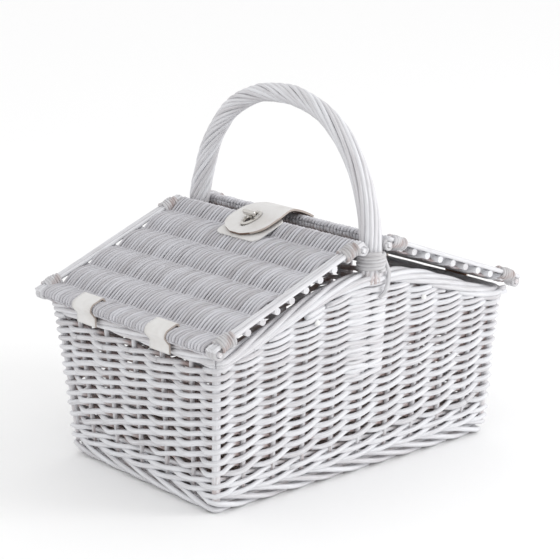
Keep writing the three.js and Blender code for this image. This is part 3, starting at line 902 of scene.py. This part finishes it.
@dataclass
class Handle:
    """The bow handle: twisted strands round a core, bound to the rim by two collars."""

    plan: Plan
    spring: float = 230.6
    top: float = 390.0
    fullness: float = 2.13
    lean: float = 15.5 / 200.0
    strands: int = 12
    leg_radius: float = 9.2
    top_radius: float = 8.1
    back_pull: float = 9.0
    tight_turn: float = 165.0
    loose_turn: float = 560.0
    flat_bottom: float = 112.0
    collar_turns: int = 5
    collar_radius: float = 2.3
    collar_height: float = 19.0
    collar_gap: float = 1.6
    collar_reach: tuple[float, float] = (12.6, 14.0)
    strand_radius: float = 2.1
    core_radius: float = 7.0
    foot_rods: int = 6
    foot_radius: float = 2.2

    def build(self, palette: Palette) -> None:
        """Builds the strands, the core with its flat feet, and the collars."""
        strands = self._strands().finish(WHITE_WILLOW, palette, "basket")
        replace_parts(strands, "handle_wrap")
        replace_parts(self._core().finish(WHITE_WILLOW, palette, "basket"), "handle_core")
        for face in Face:
            collar = self._collar(face).finish(LASHING_WILLOW, palette, "basket")
            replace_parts(collar, f"handle_collar_{face.name.lower()}")

    def bow(self, bottom: float, spacing: float) -> tuple[np.ndarray, np.ndarray]:
        """Traces the handle from the back leg over the top to the front one.

        Args:
            bottom: The height where it starts and ends.
            spacing: The distance between its points.

        Returns:
            The points, and how far each is from the start.
        """
        low = np.linspace(bottom, self.spring, 40, endpoint=False)
        angle = np.linspace(0.0, math.pi / 2, 160)
        power = 2.0 / self.fullness
        arch_y = self.plan.leg_y(self.spring) * np.clip(np.cos(angle), 0.0, 1.0) ** power
        arch_z = self.spring + (self.top - self.spring) * np.sin(angle) ** power
        y = np.concatenate((self.plan.leg_y(low), arch_y))
        z = np.concatenate((low, arch_z))
        pull = smooth_step(z, 222.0, 252.0) * (1.0 - smooth_step(z, 280.0, 388.0))
        y = np.concatenate((y - self.back_pull * pull, -y[-2::-1]))
        z = np.concatenate((z, z[-2::-1]))
        x = np.maximum(z - self.spring, 0.0) * self.lean
        rough = np.column_stack((x, y, z))
        steps = np.linalg.norm(np.diff(rough, axis=0), axis=1)
        length = np.concatenate(([0.0], np.cumsum(steps)))
        even = np.linspace(0.0, length[-1], int(length[-1] / spacing) + 1)
        points = np.column_stack([np.interp(even, length, rough[:, i]) for i in range(3)])
        return points, even

    def _strands(self) -> Bundle:
        """Twists the strands, tight over the back and the top and nearly straight in front."""
        bundle = Bundle("handle_strands", 31, sides=8)
        bottom = self.plan.rim_middle - 3.0
        path, length = self.bow(bottom, 6.0)
        tangent = np.gradient(path, axis=0)
        tangent /= np.linalg.norm(tangent, axis=1)[:, None]
        along = np.array((1.0, 0.0, 0.0)) - tangent * tangent[:, :1]
        along /= np.linalg.norm(along, axis=1)[:, None]
        across = np.cross(tangent, along)
        share = length / length[-1]
        slow = smooth_step(share, 0.58, 0.76)
        rate = 2.0 * math.pi * ((1.0 - slow) / self.tight_turn + slow / self.loose_turn)
        twist = np.concatenate(([0.0], np.cumsum(rate[1:] * np.diff(length))))
        high = smooth_step(path[:, 2], self.spring, self.top)
        ring = self.leg_radius + (self.top_radius - self.leg_radius) * high
        for number in range(self.strands):
            start = 2.0 * math.pi * number / self.strands
            sway = 0.05 * np.sin(length / 31.0 + number * 2.1)
            turn = start + twist + sway
            lift = ring + 0.45 * np.sin(length / 47.0 + number * 1.3)
            offset = np.cos(turn)[:, None] * along + np.sin(turn)[:, None] * across
            radius = ring * math.sin(math.pi / self.strands) * 1.09
            low = 1.0 - smooth_step(path[:, 2], bottom + 4.0, bottom + 22.0)
            raw = 0.55 * low + 0.12 * bundle.random.random()
            bundle.add(path + lift[:, None] * offset, radius, raw)
        return bundle

    def _core(self) -> Bundle:
        """Fills the handle and lays its flat feet inside the walls."""
        bundle = Bundle("handle_core_rods", 32)
        path, _ = self.bow(self.plan.rim_middle - 3.0, 8.0)
        bundle.add(path, self.core_radius, 0.8)
        for face in Face:
            for number in range(self.foot_rods):
                z = np.linspace(self.flat_bottom, self.plan.rim_middle + 6.0, 20)
                gathered = smooth_step(z, 195.0, 222.0)
                x = (number - (self.foot_rods - 1) / 2) * (4.5 * (1.0 - gathered) + 2.2 * gathered)
                y = face.value * (self.plan.leg_y(z) - 2.8 + 2.0 * gathered)
                raw = 0.30 + 0.25 * bundle.random.random()
                bundle.add(np.column_stack((x, y, z)), self.foot_radius, raw)
        return bundle

    def _collar(self, face: Face) -> Bundle:
        """Binds a leg just above the rim, with a strand that runs down over the rim."""
        bundle = Bundle(f"collar_rods_{face.name.lower()}", 33 + face.value, sides=8)
        bottom = self.plan.rim_middle + self.plan.rim_half_height + self.collar_gap
        top = bottom + self.collar_height
        turn = np.linspace(0.0, 2.0 * math.pi * self.collar_turns, 24 * self.collar_turns + 1)
        z = bottom + (top - bottom) * turn / turn[-1]
        uneven = 1.0 + 0.03 * np.sin(turn * 0.63)
        half_x, half_y = self.collar_reach
        x = 0.4 + half_x * uneven * np.sin(turn)
        y = face.value * (self.plan.leg_y(z) + half_y * uneven * np.cos(turn))
        bundle.add(np.column_stack((x, y, z)), self.collar_radius, 0.18)
        outside = self.plan.leg_y(self.plan.rim_middle)
        drop = ((9.0, 11.5, 240.0), (13.0, 11.5, 231.0), (17.5, 10.5, 222.0), (17.0, 9.5, 211.0))
        drop = (*drop, (14.0, 8.0, 201.0), (11.0, 3.0, 195.0))
        share = np.linspace(0.0, 1.0, 19)
        knots = np.linspace(0.0, 1.0, len(drop))
        columns = [np.interp(share, knots, [point[i] for point in drop]) for i in range(3)]
        y = face.value * (outside + columns[1])
        bundle.add(np.column_stack((columns[0], y, columns[2])), self.strand_radius, 0.15)
        return bundle


# --- the lids ----------------------------------------------------------------------------


@dataclass
class Lid:
    """A woven lid: thin rods over six sticks, with bound rods along its two sides."""

    plan: Plan
    end: End
    weaver_radius: float = 1.75
    weavers: int = 112
    half_weave: float = 146.0
    wave: float = 5.0
    stick_radius: float = 2.8
    tip_radius: float = 3.7
    tip_dip: float = 1.7
    stick_count: int = 6
    half_stick: float = 163.0
    short_stick: float = 159.0
    side_rows: tuple[float, float, float] = (150.6, 155.0, 159.4)
    side_rod_radius: float = 2.3
    side_rod_n: float = 4.1
    batten_radius: float = 3.0
    batten_dip: float = 4.7
    lashing_loops: int = 6
    lashing_span: tuple[float, float] = (5.0, 23.0)
    lashing_radius: float = 1.75
    corner_wrap_radius: float = 1.65

    def __post_init__(self) -> None:
        """Works out the slope from the first and the last stick."""
        rise = self.plan.ridge[2] - self.plan.hinge[2]
        run = self.plan.ridge[0] - self.plan.hinge[0]
        self.length = math.hypot(rise, run)
        self.cos, self.sin = run / self.length, rise / self.length
        self.pitch = self.length / (self.stick_count - 1)
        self.name = f"{self.end.name.lower()}_lid"

    def place(self, s: np.ndarray, y: np.ndarray, n: np.ndarray) -> np.ndarray:
        """Turns places of the lid into points of the basket.

        Args:
            s: How far up the slope they are, from the hinge.
            y: How far across they are.
            n: How far above the middle of the lid they are.

        Returns:
            The points, one a row.
        """
        s, y, n = np.broadcast_arrays(np.asarray(s, float), y, n)
        x = self.plan.hinge[0] + s * self.cos - n * self.sin
        z = self.plan.hinge[2] + s * self.sin + n * self.cos
        turn = -self.end.value
        return np.column_stack((turn * x, turn * y, z))

    def build(self, palette: Palette) -> None:
        """Builds the weave, the sticks, the side rods and the lashings."""
        weave = self._weave().finish(THIN_SHADED_WILLOW, palette, self.name)
        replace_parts(weave, f"{self.name}_weave")
        sticks = [f"{self.name}_stick_{i}" for i in range(1, self.stick_count + 1)]
        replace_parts(self._sticks().finish(WHITE_WILLOW, palette, self.name), *sticks)
        sides = [f"{self.name}_side_rods_{f.name.lower()}" for f in Face]
        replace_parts(self._side_rods().finish(WHITE_WILLOW, palette, self.name), *sides)
        edge = self.end.name.lower()
        bound = [f"{edge}_lashing_{p}_{f}" for p in ("outer", "ridge") for f in ("front", "back")]
        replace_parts(self._lashings().finish(LASHING_WILLOW, palette, self.name), *bound)

    def _weave(self) -> Bundle:
        """Weaves the thin rods, each turning round an edge stick into the next."""
        bundle = Bundle(f"{self.name}_rods", 41 + self.end.value, sides=6)
        pitch = 2.0 * self.half_weave / self.weavers
        bend = np.radians((0.0, 30.0, 60.0))
        for number in range(self.weavers):
            side = 1.0 if number % 2 else -1.0
            middle = -self.half_weave + pitch * (number + 0.5)
            inner = np.linspace(0.0, self.length, 6 * (self.stick_count - 1) + 1)
            s = np.concatenate(
                (-self.wave * np.cos(bend), inner, self.length + self.wave * np.cos(bend[::-1]))
            )
            n_inner = side * np.cos(math.pi * inner / self.pitch)
            n_last = n_inner[-1] * np.sin(bend[::-1])
            n = self.wave * np.concatenate((side * np.sin(bend), n_inner, n_last))
            step = side * pitch / 2.0
            ends = (-self.wave, 0.0, self.length, self.length + self.wave)
            y = np.interp(s, ends, (middle + step, middle, middle, middle - step))
            y = y + 0.25 * np.sin(s / 23.0 + bundle.random.uniform(0.0, 6.3))
            n = n + 0.25 * np.sin(s / 17.0 + bundle.random.uniform(0.0, 6.3))
            radius = self.weaver_radius * bundle.random.uniform(0.86, 1.1)
            crest = 1.0 + 0.22 * smooth_step(np.abs(n), 1.5, self.wave)
            # Where a weaver dips below the lid's middle it gets bare willow colour as painted
            # shade, partly thin paint.
            raw = 0.12 + 0.5 * smooth_step(-n, 0.0, self.wave)
            bundle.add(self.place(s, y, n), radius * crest, raw)
        return bundle

    def _sticks(self) -> Bundle:
        """Lays the six sticks, thick at their tips, and the thin battens between them."""
        bundle = Bundle(f"{self.name}_sticks", 51 + self.end.value, sides=10)
        for number in range(self.stick_count):
            edge = number in (0, self.stick_count - 1)
            reach = self.half_stick if edge else self.short_stick
            y = np.linspace(-reach, reach, 45)
            tip = smooth_step(np.abs(y), self.half_weave - 2.0, self.half_weave + 3.0)
            radius = self.stick_radius + (self.tip_radius - self.stick_radius) * tip
            radius = radius * (1.0 - 0.35 * smooth_step(np.abs(y), 161.0, 163.4))
            raw = 0.1 + 0.3 * smooth_step(np.abs(y), 158.0, 163.0)
            bundle.add(self.place(number * self.pitch, y, -self.tip_dip * tip), radius, raw)
        for number in range(self.stick_count - 1):
            y = np.linspace(-self.short_stick, self.short_stick, 45)
            tip = smooth_step(np.abs(y), self.half_weave - 4.0, self.half_weave + 3.0)
            n = -self.batten_dip + (self.batten_dip - self.tip_dip) * tip
            radius = self.batten_radius + (self.tip_radius - self.batten_radius) * tip
            bundle.add(self.place((number + 0.5) * self.pitch, y, n), radius, 0.25)
        return bundle

    def _side_rods(self) -> Bundle:
        """Lays three rods along each side, over the tips of the sticks."""
        bundle = Bundle(f"{self.name}_side_rods", 61 + self.end.value, sides=8)
        for face in Face:
            for number, row in enumerate(self.side_rows):
                s = np.linspace(-4.5, self.length + 3.5, 33)
                crowned = self.side_rod_n + (0.5 if number == 1 else 0.0)
                bow = 0.5 * np.sin(s / 31.0 + bundle.random.uniform(0.0, 6.3))
                bundle.add(self.place(s, face.value * row + bow, crowned), self.side_rod_radius)
        return bundle

    def _lashings(self) -> Bundle:
        """Binds the side rods at the lid's four corners."""
        bundle = Bundle(f"{self.name}_lashings", 71 + self.end.value, sides=6)
        loops = self.lashing_loops
        near, far = self.lashing_span
        for face in Face:
            for start, finish in ((near, far), (self.length - far, self.length - near)):
                turn = np.linspace(0.0, 2.0 * math.pi * loops, 16 * loops + 1)
                s = start + (finish - start) * turn / turn[-1] + 1.6 * np.sin(turn)
                uneven = 1.0 + 0.06 * np.sin(turn * 0.77 + start)
                y = face.value * 154.6 + 8.6 * uneven * np.sin(turn)
                n = 2.6 + 5.6 * uneven * np.cos(turn)
                raw = 0.1 + 0.4 * (0.5 + 0.5 * np.sin(turn * 1.9))
                bundle.add(self.place(s, y, n), self.lashing_radius, raw)
            for corner in (0.0, self.length):
                turn = np.linspace(0.0, 10.0 * math.pi, 81)
                s = corner + 4.9 * np.cos(turn)
                y = face.value * (147.6 + 13.4 * turn / turn[-1])
                n = -self.tip_dip * smooth_step(turn, 0.0, 6.0) + 5.0 * np.sin(turn)
                bundle.add(self.place(s, y, n), self.corner_wrap_radius, 0.2)
        return bundle


# --- leather and metal -------------------------------------------------------------------


def leather_strip(
    name: str,
    rows: np.ndarray,
    half_widths: np.ndarray,
    columns: int,
    thickness: float,
    hole: tuple[float, float, float] | None = None,
) -> bpy.types.Mesh:
    """Makes a strip of leather that follows a curve in the XZ plane.

    Args:
        name: The mesh's name.
        rows: The curve's points, X and Z, with the face side on the left of its travel.
        half_widths: Half of the strip's width at each point.
        columns: How many faces it is wide.
        thickness: How thick it is.
        hole: The middle along X of an oval hole and its two half sizes, or None.

    Returns:
        The mesh, all in material 0; its callers put its back in 1 and its cut edges in 2.
    """
    strip = bmesh.new()
    bmesh.ops.create_grid(strip, x_segments=len(rows) - 1, y_segments=columns, size=1.0)
    for vertex in strip.verts:
        row = int(round((vertex.co.x + 1.0) / 2.0 * (len(rows) - 1)))
        y = vertex.co.y * half_widths[row]
        vertex.co = Vector((rows[row][0] * MM, y * MM, rows[row][1] * MM))
    if hole:
        inside = []
        for face in strip.faces:
            spot = face.calc_center_median() / MM
            if ((spot.x - hole[0]) / hole[1]) ** 2 + (spot.y / hole[2]) ** 2 < 1.0:
                inside.append(face)
        bmesh.ops.delete(strip, geom=inside, context="FACES")
    bmesh.ops.recalc_face_normals(strip, faces=strip.faces[:])
    upper = max(strip.faces, key=lambda face: face.calc_center_median().z)
    if upper.normal.z < 0.0:
        bmesh.ops.reverse_faces(strip, faces=strip.faces[:])
    bmesh.ops.solidify(strip, geom=strip.faces[:], thickness=thickness * MM)
    for face in strip.faces:
        face.smooth = True
    mesh = bpy.data.meshes.new(name)
    strip.to_mesh(mesh)
    strip.free()
    return mesh


@dataclass
class HingeStraps:
    """Four leather straps that join the lids to the rim."""

    plan: Plan
    lids: dict[End, Lid]
    half_width: float = 17.0
    middle_y: float = 66.0
    thickness: float = 1.9
    slot_s: float = 12.0
    low_z: float = 162.5
    weave_top: float = 6.7
    gap: float = 0.3
    bend_below: float = 11.0
    bend_above: float = 7.0

    def build(self, palette: Palette) -> None:
        """Builds the straps, each shaped to curve from its lid round the hinge down to the basket.
        """
        for end, lid in self.lids.items():
            for face in Face:
                self._strap(end, lid, face, palette)

    def _profile(self, lid: Lid) -> np.ndarray:
        """Traces the strap's outer face, from its slot in the lid to its lower end."""
        outer = self.weave_top + self.gap + self.thickness
        slope = math.atan2(lid.sin, lid.cos)
        points = [(self.slot_s + 2.0, outer - 6.0), (self.slot_s + 1.0, outer - 1.2)]
        points += [(s, outer) for s in (self.slot_s - 1.5, 8.0, 5.0, 2.0)]
        on_lid = [lid.place(s, 0.0, n)[0] for s, n in points]
        path = [(-abs(p[0]), p[2]) for p in on_lid]
        hinge_x, hinge_z = self.plan.hinge[0], self.plan.hinge[2]
        for angle in np.linspace(math.pi / 2 + slope, math.pi + 0.1, 12):
            path.append((hinge_x + outer * math.cos(angle), hinge_z + outer * math.sin(angle)))
        low_x = hinge_x - 3.1
        for z in np.linspace(172.0, self.low_z, 5):
            path.append((low_x, z))
        return np.array(path)

    def _strap(self, end: End, lid: Lid, face: Face, palette: Palette) -> None:
        """Builds one strap.

        Args:
            end: The end of the basket that it is on.
            lid: The lid that it holds.
            face: The long side that it is nearer.
            palette: Where its materials come from.
        """
        profile = self._profile(lid)
        if end is End.RIGHT:
            profile = profile * np.array((-1.0, 1.0))
        name = f"hinge_strap_{end.name.lower()}_{face.name.lower()}"
        widths = np.full(len(profile), self.half_width)
        mesh = leather_strip(f"{name}_leather", profile, widths, 8, self.thickness)
        coordinates = np.empty(len(mesh.vertices) * 3)
        mesh.vertices.foreach_get("co", coordinates)
        coordinates[1::3] += face.value * self.middle_y * MM
        mesh.vertices.foreach_set("co", coordinates)
        materials = [palette[CREAM_LEATHER], palette[LEATHER_BACK], palette[LEATHER_EDGE]]
        obj = placed(f"{name}_leather", mesh, materials, None)
        dress_strap(obj, self.plan.hinge)
        x = end.value * abs(self.plan.hinge[0]) * MM
        y, z = face.value * self.middle_y * MM, self.plan.hinge[2]
        low = (x, y, (z - self.bend_below) * MM)
        high = (x, y, (z + self.bend_above) * MM)
        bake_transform(obj)
        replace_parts(obj, name)


def dress_strap(obj: bpy.types.Object, hinge: np.ndarray) -> None:
    """Gives a hinge strap's outside, inside and cut edges their own materials.

    Args:
        obj: The strap.
        hinge: The middle of the stick that it bends round.
    """
    for polygon in obj.data.polygons:
        away = np.array((abs(polygon.center.x) + hinge[0] * MM, polygon.center.z - hinge[2] * MM))
        sign = math.copysign(1.0, polygon.center.x)
        facing = polygon.normal.x * sign * away[0] + polygon.normal.z * away[1]
        if abs(polygon.normal.y) > 0.7:
            polygon.material_index = 2
            polygon.use_smooth = False
        else:
            polygon.material_index = 0 if facing > 0.0 else 1


@dataclass
class Latch:
    """The leather flap over the ridge, with its eyelet, pad and turn lock."""

    plan: Plan
    lid: Lid
    root_x: float = 33.0
    tip_x: float = -58.0
    neck: float = 23.5
    paddle: float = 34.0
    thickness: float = 2.2
    eyelet_x: float = -35.0
    hole: tuple[float, float] = (12.4, 6.6)
    pad_size: tuple[float, float, float] = (46.0, 70.0, 1.5)
    pad_corner: float = 9.0
    pad_middle: float = 6.7 + 0.3 + 0.75
    lock_height: float = 14.0
    plate_height: float = 8.8
    knob_height: float = 10.7

    def build(self, palette: Palette) -> None:
        """Builds every piece of the latch."""
        self._flap(palette)
        self._pad(palette)
        self._eyelet(palette)
        self._lock(palette)

    def _section(self) -> np.ndarray:
        """Traces the flap's top from its root to its tip, along a smooth arch."""
        knots_x = (33.0, 24.0, 12.0, 0.0, -12.0, -24.0, -46.0, -58.0)
        knots_z = (255.5, 261.2, 266.0, 268.6, 267.3, 263.6, 255.1, 248.4)
        x = np.linspace(self.root_x, self.tip_x, 47)
        fine = np.linspace(-9.0, 9.0, 13)
        order = np.argsort(knots_x)
        known_x, known_z = np.array(knots_x)[order], np.array(knots_z)[order]
        spread = x[:, None] + fine[None, :] * np.minimum(1.0, self._edge(x))[:, None]
        z = np.interp(spread, known_x, known_z).mean(axis=1)
        return np.column_stack((x, z + self.thickness / 2.0))

    def _edge(self, x: np.ndarray) -> np.ndarray:
        """Says how near a place is to either end of the flap, 0 at the end itself."""
        return np.minimum(self.root_x - x, x - self.tip_x) / 9.0

    def _half_width(self, x: np.ndarray) -> np.ndarray:
        """Gives half of the flap's width, narrow at the neck and round at the paddle."""
        wide = self.neck + (self.paddle - self.neck) * smooth_step(-x, -12.0, 26.0)
        tip = np.clip((x - self.tip_x) / 22.0, 0.0, 1.0)
        return wide * np.maximum(np.sqrt(1.0 - (1.0 - tip) ** 2.3), 0.25)

    def _flap(self, palette: Palette) -> None:
        """Cuts the flap and bends it over the ridge."""
        section = self._section()
        widths = self._half_width(section[:, 0])
        hole = (self.eyelet_x, *self.hole)
        mesh = leather_strip("latch_flap_leather", section, widths, 28, self.thickness, hole)
        materials = [palette[CREAM_LEATHER], palette[LEATHER_BACK], palette[LEATHER_EDGE]]
        obj = placed("latch_flap_leather", mesh, materials, "latch_flap")
        for polygon in obj.data.polygons:
            if abs(polygon.normal.z) < 0.45:
                polygon.material_index = 2
                polygon.use_smooth = False
            else:
                polygon.material_index = 0 if polygon.normal.z > 0.0 else 1
        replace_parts(obj, "latch_flap")

    def _on_lid(self, shape: bmesh.types.BMesh, s: float, y: float, n: float) -> None:
        """Moves a shape drawn round the origin to its place on the lid."""
        slope = math.atan2(self.lid.sin, self.lid.cos)
        middle = Vector(self.lid.place(s, y, n)[0] * MM)
        turn = Matrix.Translation(middle) @ Matrix.Rotation(-slope, 4, "Y")
        bmesh.ops.transform(shape, matrix=turn @ Matrix.Scale(MM, 4), verts=shape.verts[:])

    def _finish(
        self, shape: bmesh.types.BMesh, name: str, materials: list, body: str
    ) -> bpy.types.Object:
        """Turns a finished shape into a piece, with its faces outward and smooth."""
        bmesh.ops.recalc_face_normals(shape, faces=shape.faces[:])
        for face in shape.faces:
            face.smooth = True
        mesh = bpy.data.meshes.new(name)
        shape.to_mesh(mesh)
        shape.free()
        mesh.set_sharp_from_angle(angle=math.radians(40.0))
        return placed(name, mesh, materials, body)

    def _lock_s(self, n: float) -> float:
        """Gives how far up the slope the lock stands at a height above the lid."""
        run = self.eyelet_x - self.plan.hinge[0]
        return (run + n * self.lid.sin) / self.lid.cos

    def _pad(self, palette: Palette) -> None:
        """Cuts the leather pad that the lock stands on."""
        pad = bmesh.new()
        bmesh.ops.create_cube(pad, size=1.0)
        bmesh.ops.scale(pad, vec=self.pad_size, verts=pad.verts[:])
        upright = [e for e in pad.edges if abs(e.verts[0].co.z - e.verts[1].co.z) > 1.0]
        bmesh.ops.bevel(
            pad, geom=upright, offset=self.pad_corner, segments=6, profile=0.5,
            affect="EDGES", material=-1,
        )
        self._on_lid(pad, self._lock_s(self.lock_height) - 6.0, -2.0, self.pad_middle)
        materials = [palette[CREAM_LEATHER]]
        obj = self._finish(pad, "latch_pad_leather", materials, "left_lid")
        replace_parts(obj, "latch_pad")

    def _oval(self, shape: bmesh.types.BMesh, half_s: float, half_y: float, n: float) -> list:
        """Draws an oval ring of edges.

        Args:
            shape: The shape that the ring joins.
            half_s: Half of its length up the slope.
            half_y: Half of its width.
            n: How high it is.

        Returns:
            Its edges.
        """
        made = bmesh.ops.create_circle(shape, cap_ends=False, segments=40, radius=1.0)
        verts = made["verts"]
        bmesh.ops.scale(shape, vec=(half_s, half_y, 1.0), verts=verts)
        bmesh.ops.translate(shape, vec=(0.0, 0.0, n), verts=verts)
        return list({edge for vertex in verts for edge in vertex.link_edges})

    def _eyelet(self, palette: Palette) -> None:
        """Presses the oval nickel eyelet, with a rolled edge round its slot."""
        ring = bmesh.new()
        profile = ((14.0, 9.5, 0.0), (14.0, 9.5, 0.7), (13.0, 8.5, 1.5), (11.6, 6.2, 1.7))
        profile = (*profile, (10.6, 4.9, 1.2), (10.2, 4.3, 0.0))
        loops = [self._oval(ring, *sizes) for sizes in profile]
        for lower, upper in zip(loops, loops[1:] + loops[:1]):
            bmesh.ops.bridge_loops(ring, edges=lower + upper)
        self._on_lid(ring, self._lock_s(14.3), 0.0, 14.1)
        obj = self._finish(ring, "eyelet", [palette[NICKEL]], "latch_flap")
        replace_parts(obj, "eyelet_plate")

    def _lock(self, palette: Palette) -> None:
        """Makes the lock's base plate and the knob that turns on it."""
        base = bmesh.new()
        profile = ((12.0, 7.0, 0.0), (12.0, 7.0, 0.9), (10.6, 5.8, 1.6))
        loops = [self._oval(base, *sizes) for sizes in profile]
        for lower, upper in zip(loops, loops[1:]):
            bmesh.ops.bridge_loops(base, edges=lower + upper)
        for loop in (loops[0], loops[-1]):
            bmesh.ops.contextual_create(base, geom=loop)
        self._on_lid(base, self._lock_s(self.lock_height), 0.0, self.plate_height)
        plate = self._finish(base, "lock_plate", [palette[NICKEL]], "left_lid")
        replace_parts(plate, "turn_lock_base")
        knob = bmesh.new()
        post = Matrix.Translation((0.0, 0.0, 3.6))
        bmesh.ops.create_cone(
            knob, cap_ends=True, segments=20, radius1=2.3, radius2=1.9, depth=7.2, matrix=post
        )
        bar = bmesh.ops.create_cube(knob, size=1.0)["verts"]
        bmesh.ops.scale(knob, vec=(5.0, 19.0, 6.2), verts=bar)
        bmesh.ops.translate(knob, vec=(0.0, 0.0, 9.3), verts=bar)
        edges = list({edge for vertex in bar for edge in vertex.link_edges})
        bmesh.ops.bevel(
            knob, geom=edges, offset=2.3, segments=5, profile=0.5, affect="EDGES", material=-1
        )
        for vertex in knob.verts:
            if vertex.co.z > 6.0:
                share = min(abs(vertex.co.y) / 9.5, 1.0)
                vertex.co.x *= 0.62 + 0.55 * share * share
                vertex.co.z += 0.9 * share * share
        self._on_lid(knob, self._lock_s(self.lock_height), 0.0, self.knob_height)
        obj = self._finish(knob, "turn_knob_bar", [palette[NICKEL]], "turn_knob")
        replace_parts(obj, "turn_knob")


# --- the room ----------------------------------------------------------------------------


@dataclass
class Studio:
    """A pale floor, soft light and the camera."""

    target: tuple[float, float, float] = (2.0, -1.0, 186.0)
    distance: float = 2037.0
    yaw: float = 38.78
    pitch: float = 14.66
    roll: float = -1.20
    lens: float = 120.3
    floor_size: float = 12.0
    floor_tone: float = 0.97
    key_place: tuple[float, float, float] = (1.7, -2.2, 1.0)
    key_size: float = 1.1
    key_power: float = 28.0

    def build(self) -> None:
        """Sets up the camera, the floor and the lights."""
        self._camera()
        self._floor()
        self._lights()

    def _camera(self) -> None:
        """Places the camera."""
        yaw, pitch, roll = (math.radians(a) for a in (self.yaw, self.pitch, self.roll))
        level = math.cos(pitch)
        back = Vector((-math.sin(yaw) * level, -math.cos(yaw) * level, math.sin(pitch)))
        right = Vector((math.cos(yaw), -math.sin(yaw), 0.0))
        up = back.cross(right)
        turned_right = math.cos(roll) * right + math.sin(roll) * up
        turned_up = math.cos(roll) * up - math.sin(roll) * right
        data = bpy.data.cameras.new("camera")
        data.lens = self.lens
        data.sensor_width = 36.0
        data.clip_end = 50.0
        camera = bpy.data.objects.new("camera", data)
        turn = Matrix((turned_right, turned_up, back)).transposed().to_4x4()
        place = Vector(self.target) * MM + back * self.distance * MM
        camera.matrix_world = Matrix.Translation(place) @ turn
        bpy.context.collection.objects.link(camera)
        bpy.context.scene.camera = camera

    def _floor(self) -> None:
        """Lays the floor."""
        floor = bmesh.new()
        bmesh.ops.create_grid(floor, x_segments=1, y_segments=1, size=self.floor_size)
        mesh = bpy.data.meshes.new("floor")
        floor.to_mesh(mesh)
        floor.free()
        obj = bpy.data.objects.new("floor", mesh)
        bpy.context.collection.objects.link(obj)
        material, _, shader = new_material("floor")
        shader.inputs["Base Color"].default_value = (*[self.floor_tone] * 3, 1.0)
        shader.inputs["Roughness"].default_value = 0.9
        mesh.materials.append(material)

    def _lights(self) -> None:
        """Hangs the key light and fills the room with even white light."""
        world = bpy.data.worlds.new("room")
        world.use_nodes = True
        bright = world.node_tree.nodes["Background"]
        bright.inputs["Color"].default_value = (1.0, 1.0, 1.0, 1.0)
        bright.inputs["Strength"].default_value = 1.0
        bpy.context.scene.world = world
        bpy.context.scene.view_settings.view_transform = "Standard"
        self._area("key", self.key_place, self.key_size, self.key_power)

    def _area(
        self, name: str, place: tuple[float, float, float], size: float, power: float
    ) -> None:
        """Hangs a square light that faces the basket.

        Args:
            name: The light's name.
            place: Where it hangs, in metres.
            size: The length of its side.
            power: Its power in watts.
        """
        data = bpy.data.lights.new(name, "AREA")
        data.size = size
        data.energy = power
        light = bpy.data.objects.new(name, data)
        aim = Vector((0.0, 0.0, 0.15)) - Vector(place)
        light.location = place
        light.rotation_euler = aim.to_track_quat("-Z", "Y").to_euler()
        bpy.context.collection.objects.link(light)


def dress_studs(nodes: dict[str, bpy.types.Object], palette: Palette) -> None:
    """Gives the four studs of the frame their finish."""
    for end in End:
        for face in Face:
            name = f"stud_{end.name.lower()}_{face.name.lower()}"
            data = nodes[name].data
            data.materials.clear()
            data.materials.append(palette[WHITE_STUD])
            LOG.info("%s: kept from the frame", name)


def main() -> None:
    """Builds the basket round its frame."""
    logging.basicConfig(level=logging.INFO, format="%(message)s")
    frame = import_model()
    palette = Palette()
    plan = Plan()
    Body(plan).build(palette)
    Rim(plan).build(palette)
    Handle(plan).build(palette)
    lids = {end: Lid(plan, end) for end in End}
    for lid in lids.values():
        lid.build(palette)
    HingeStraps(plan, lids).build(palette)
    Latch(plan, lids[End.LEFT]).build(palette)
    dress_studs(frame["nodes"], palette)
    Studio().build()
    RODS.forget()


if __name__ == "__main__":
    main()
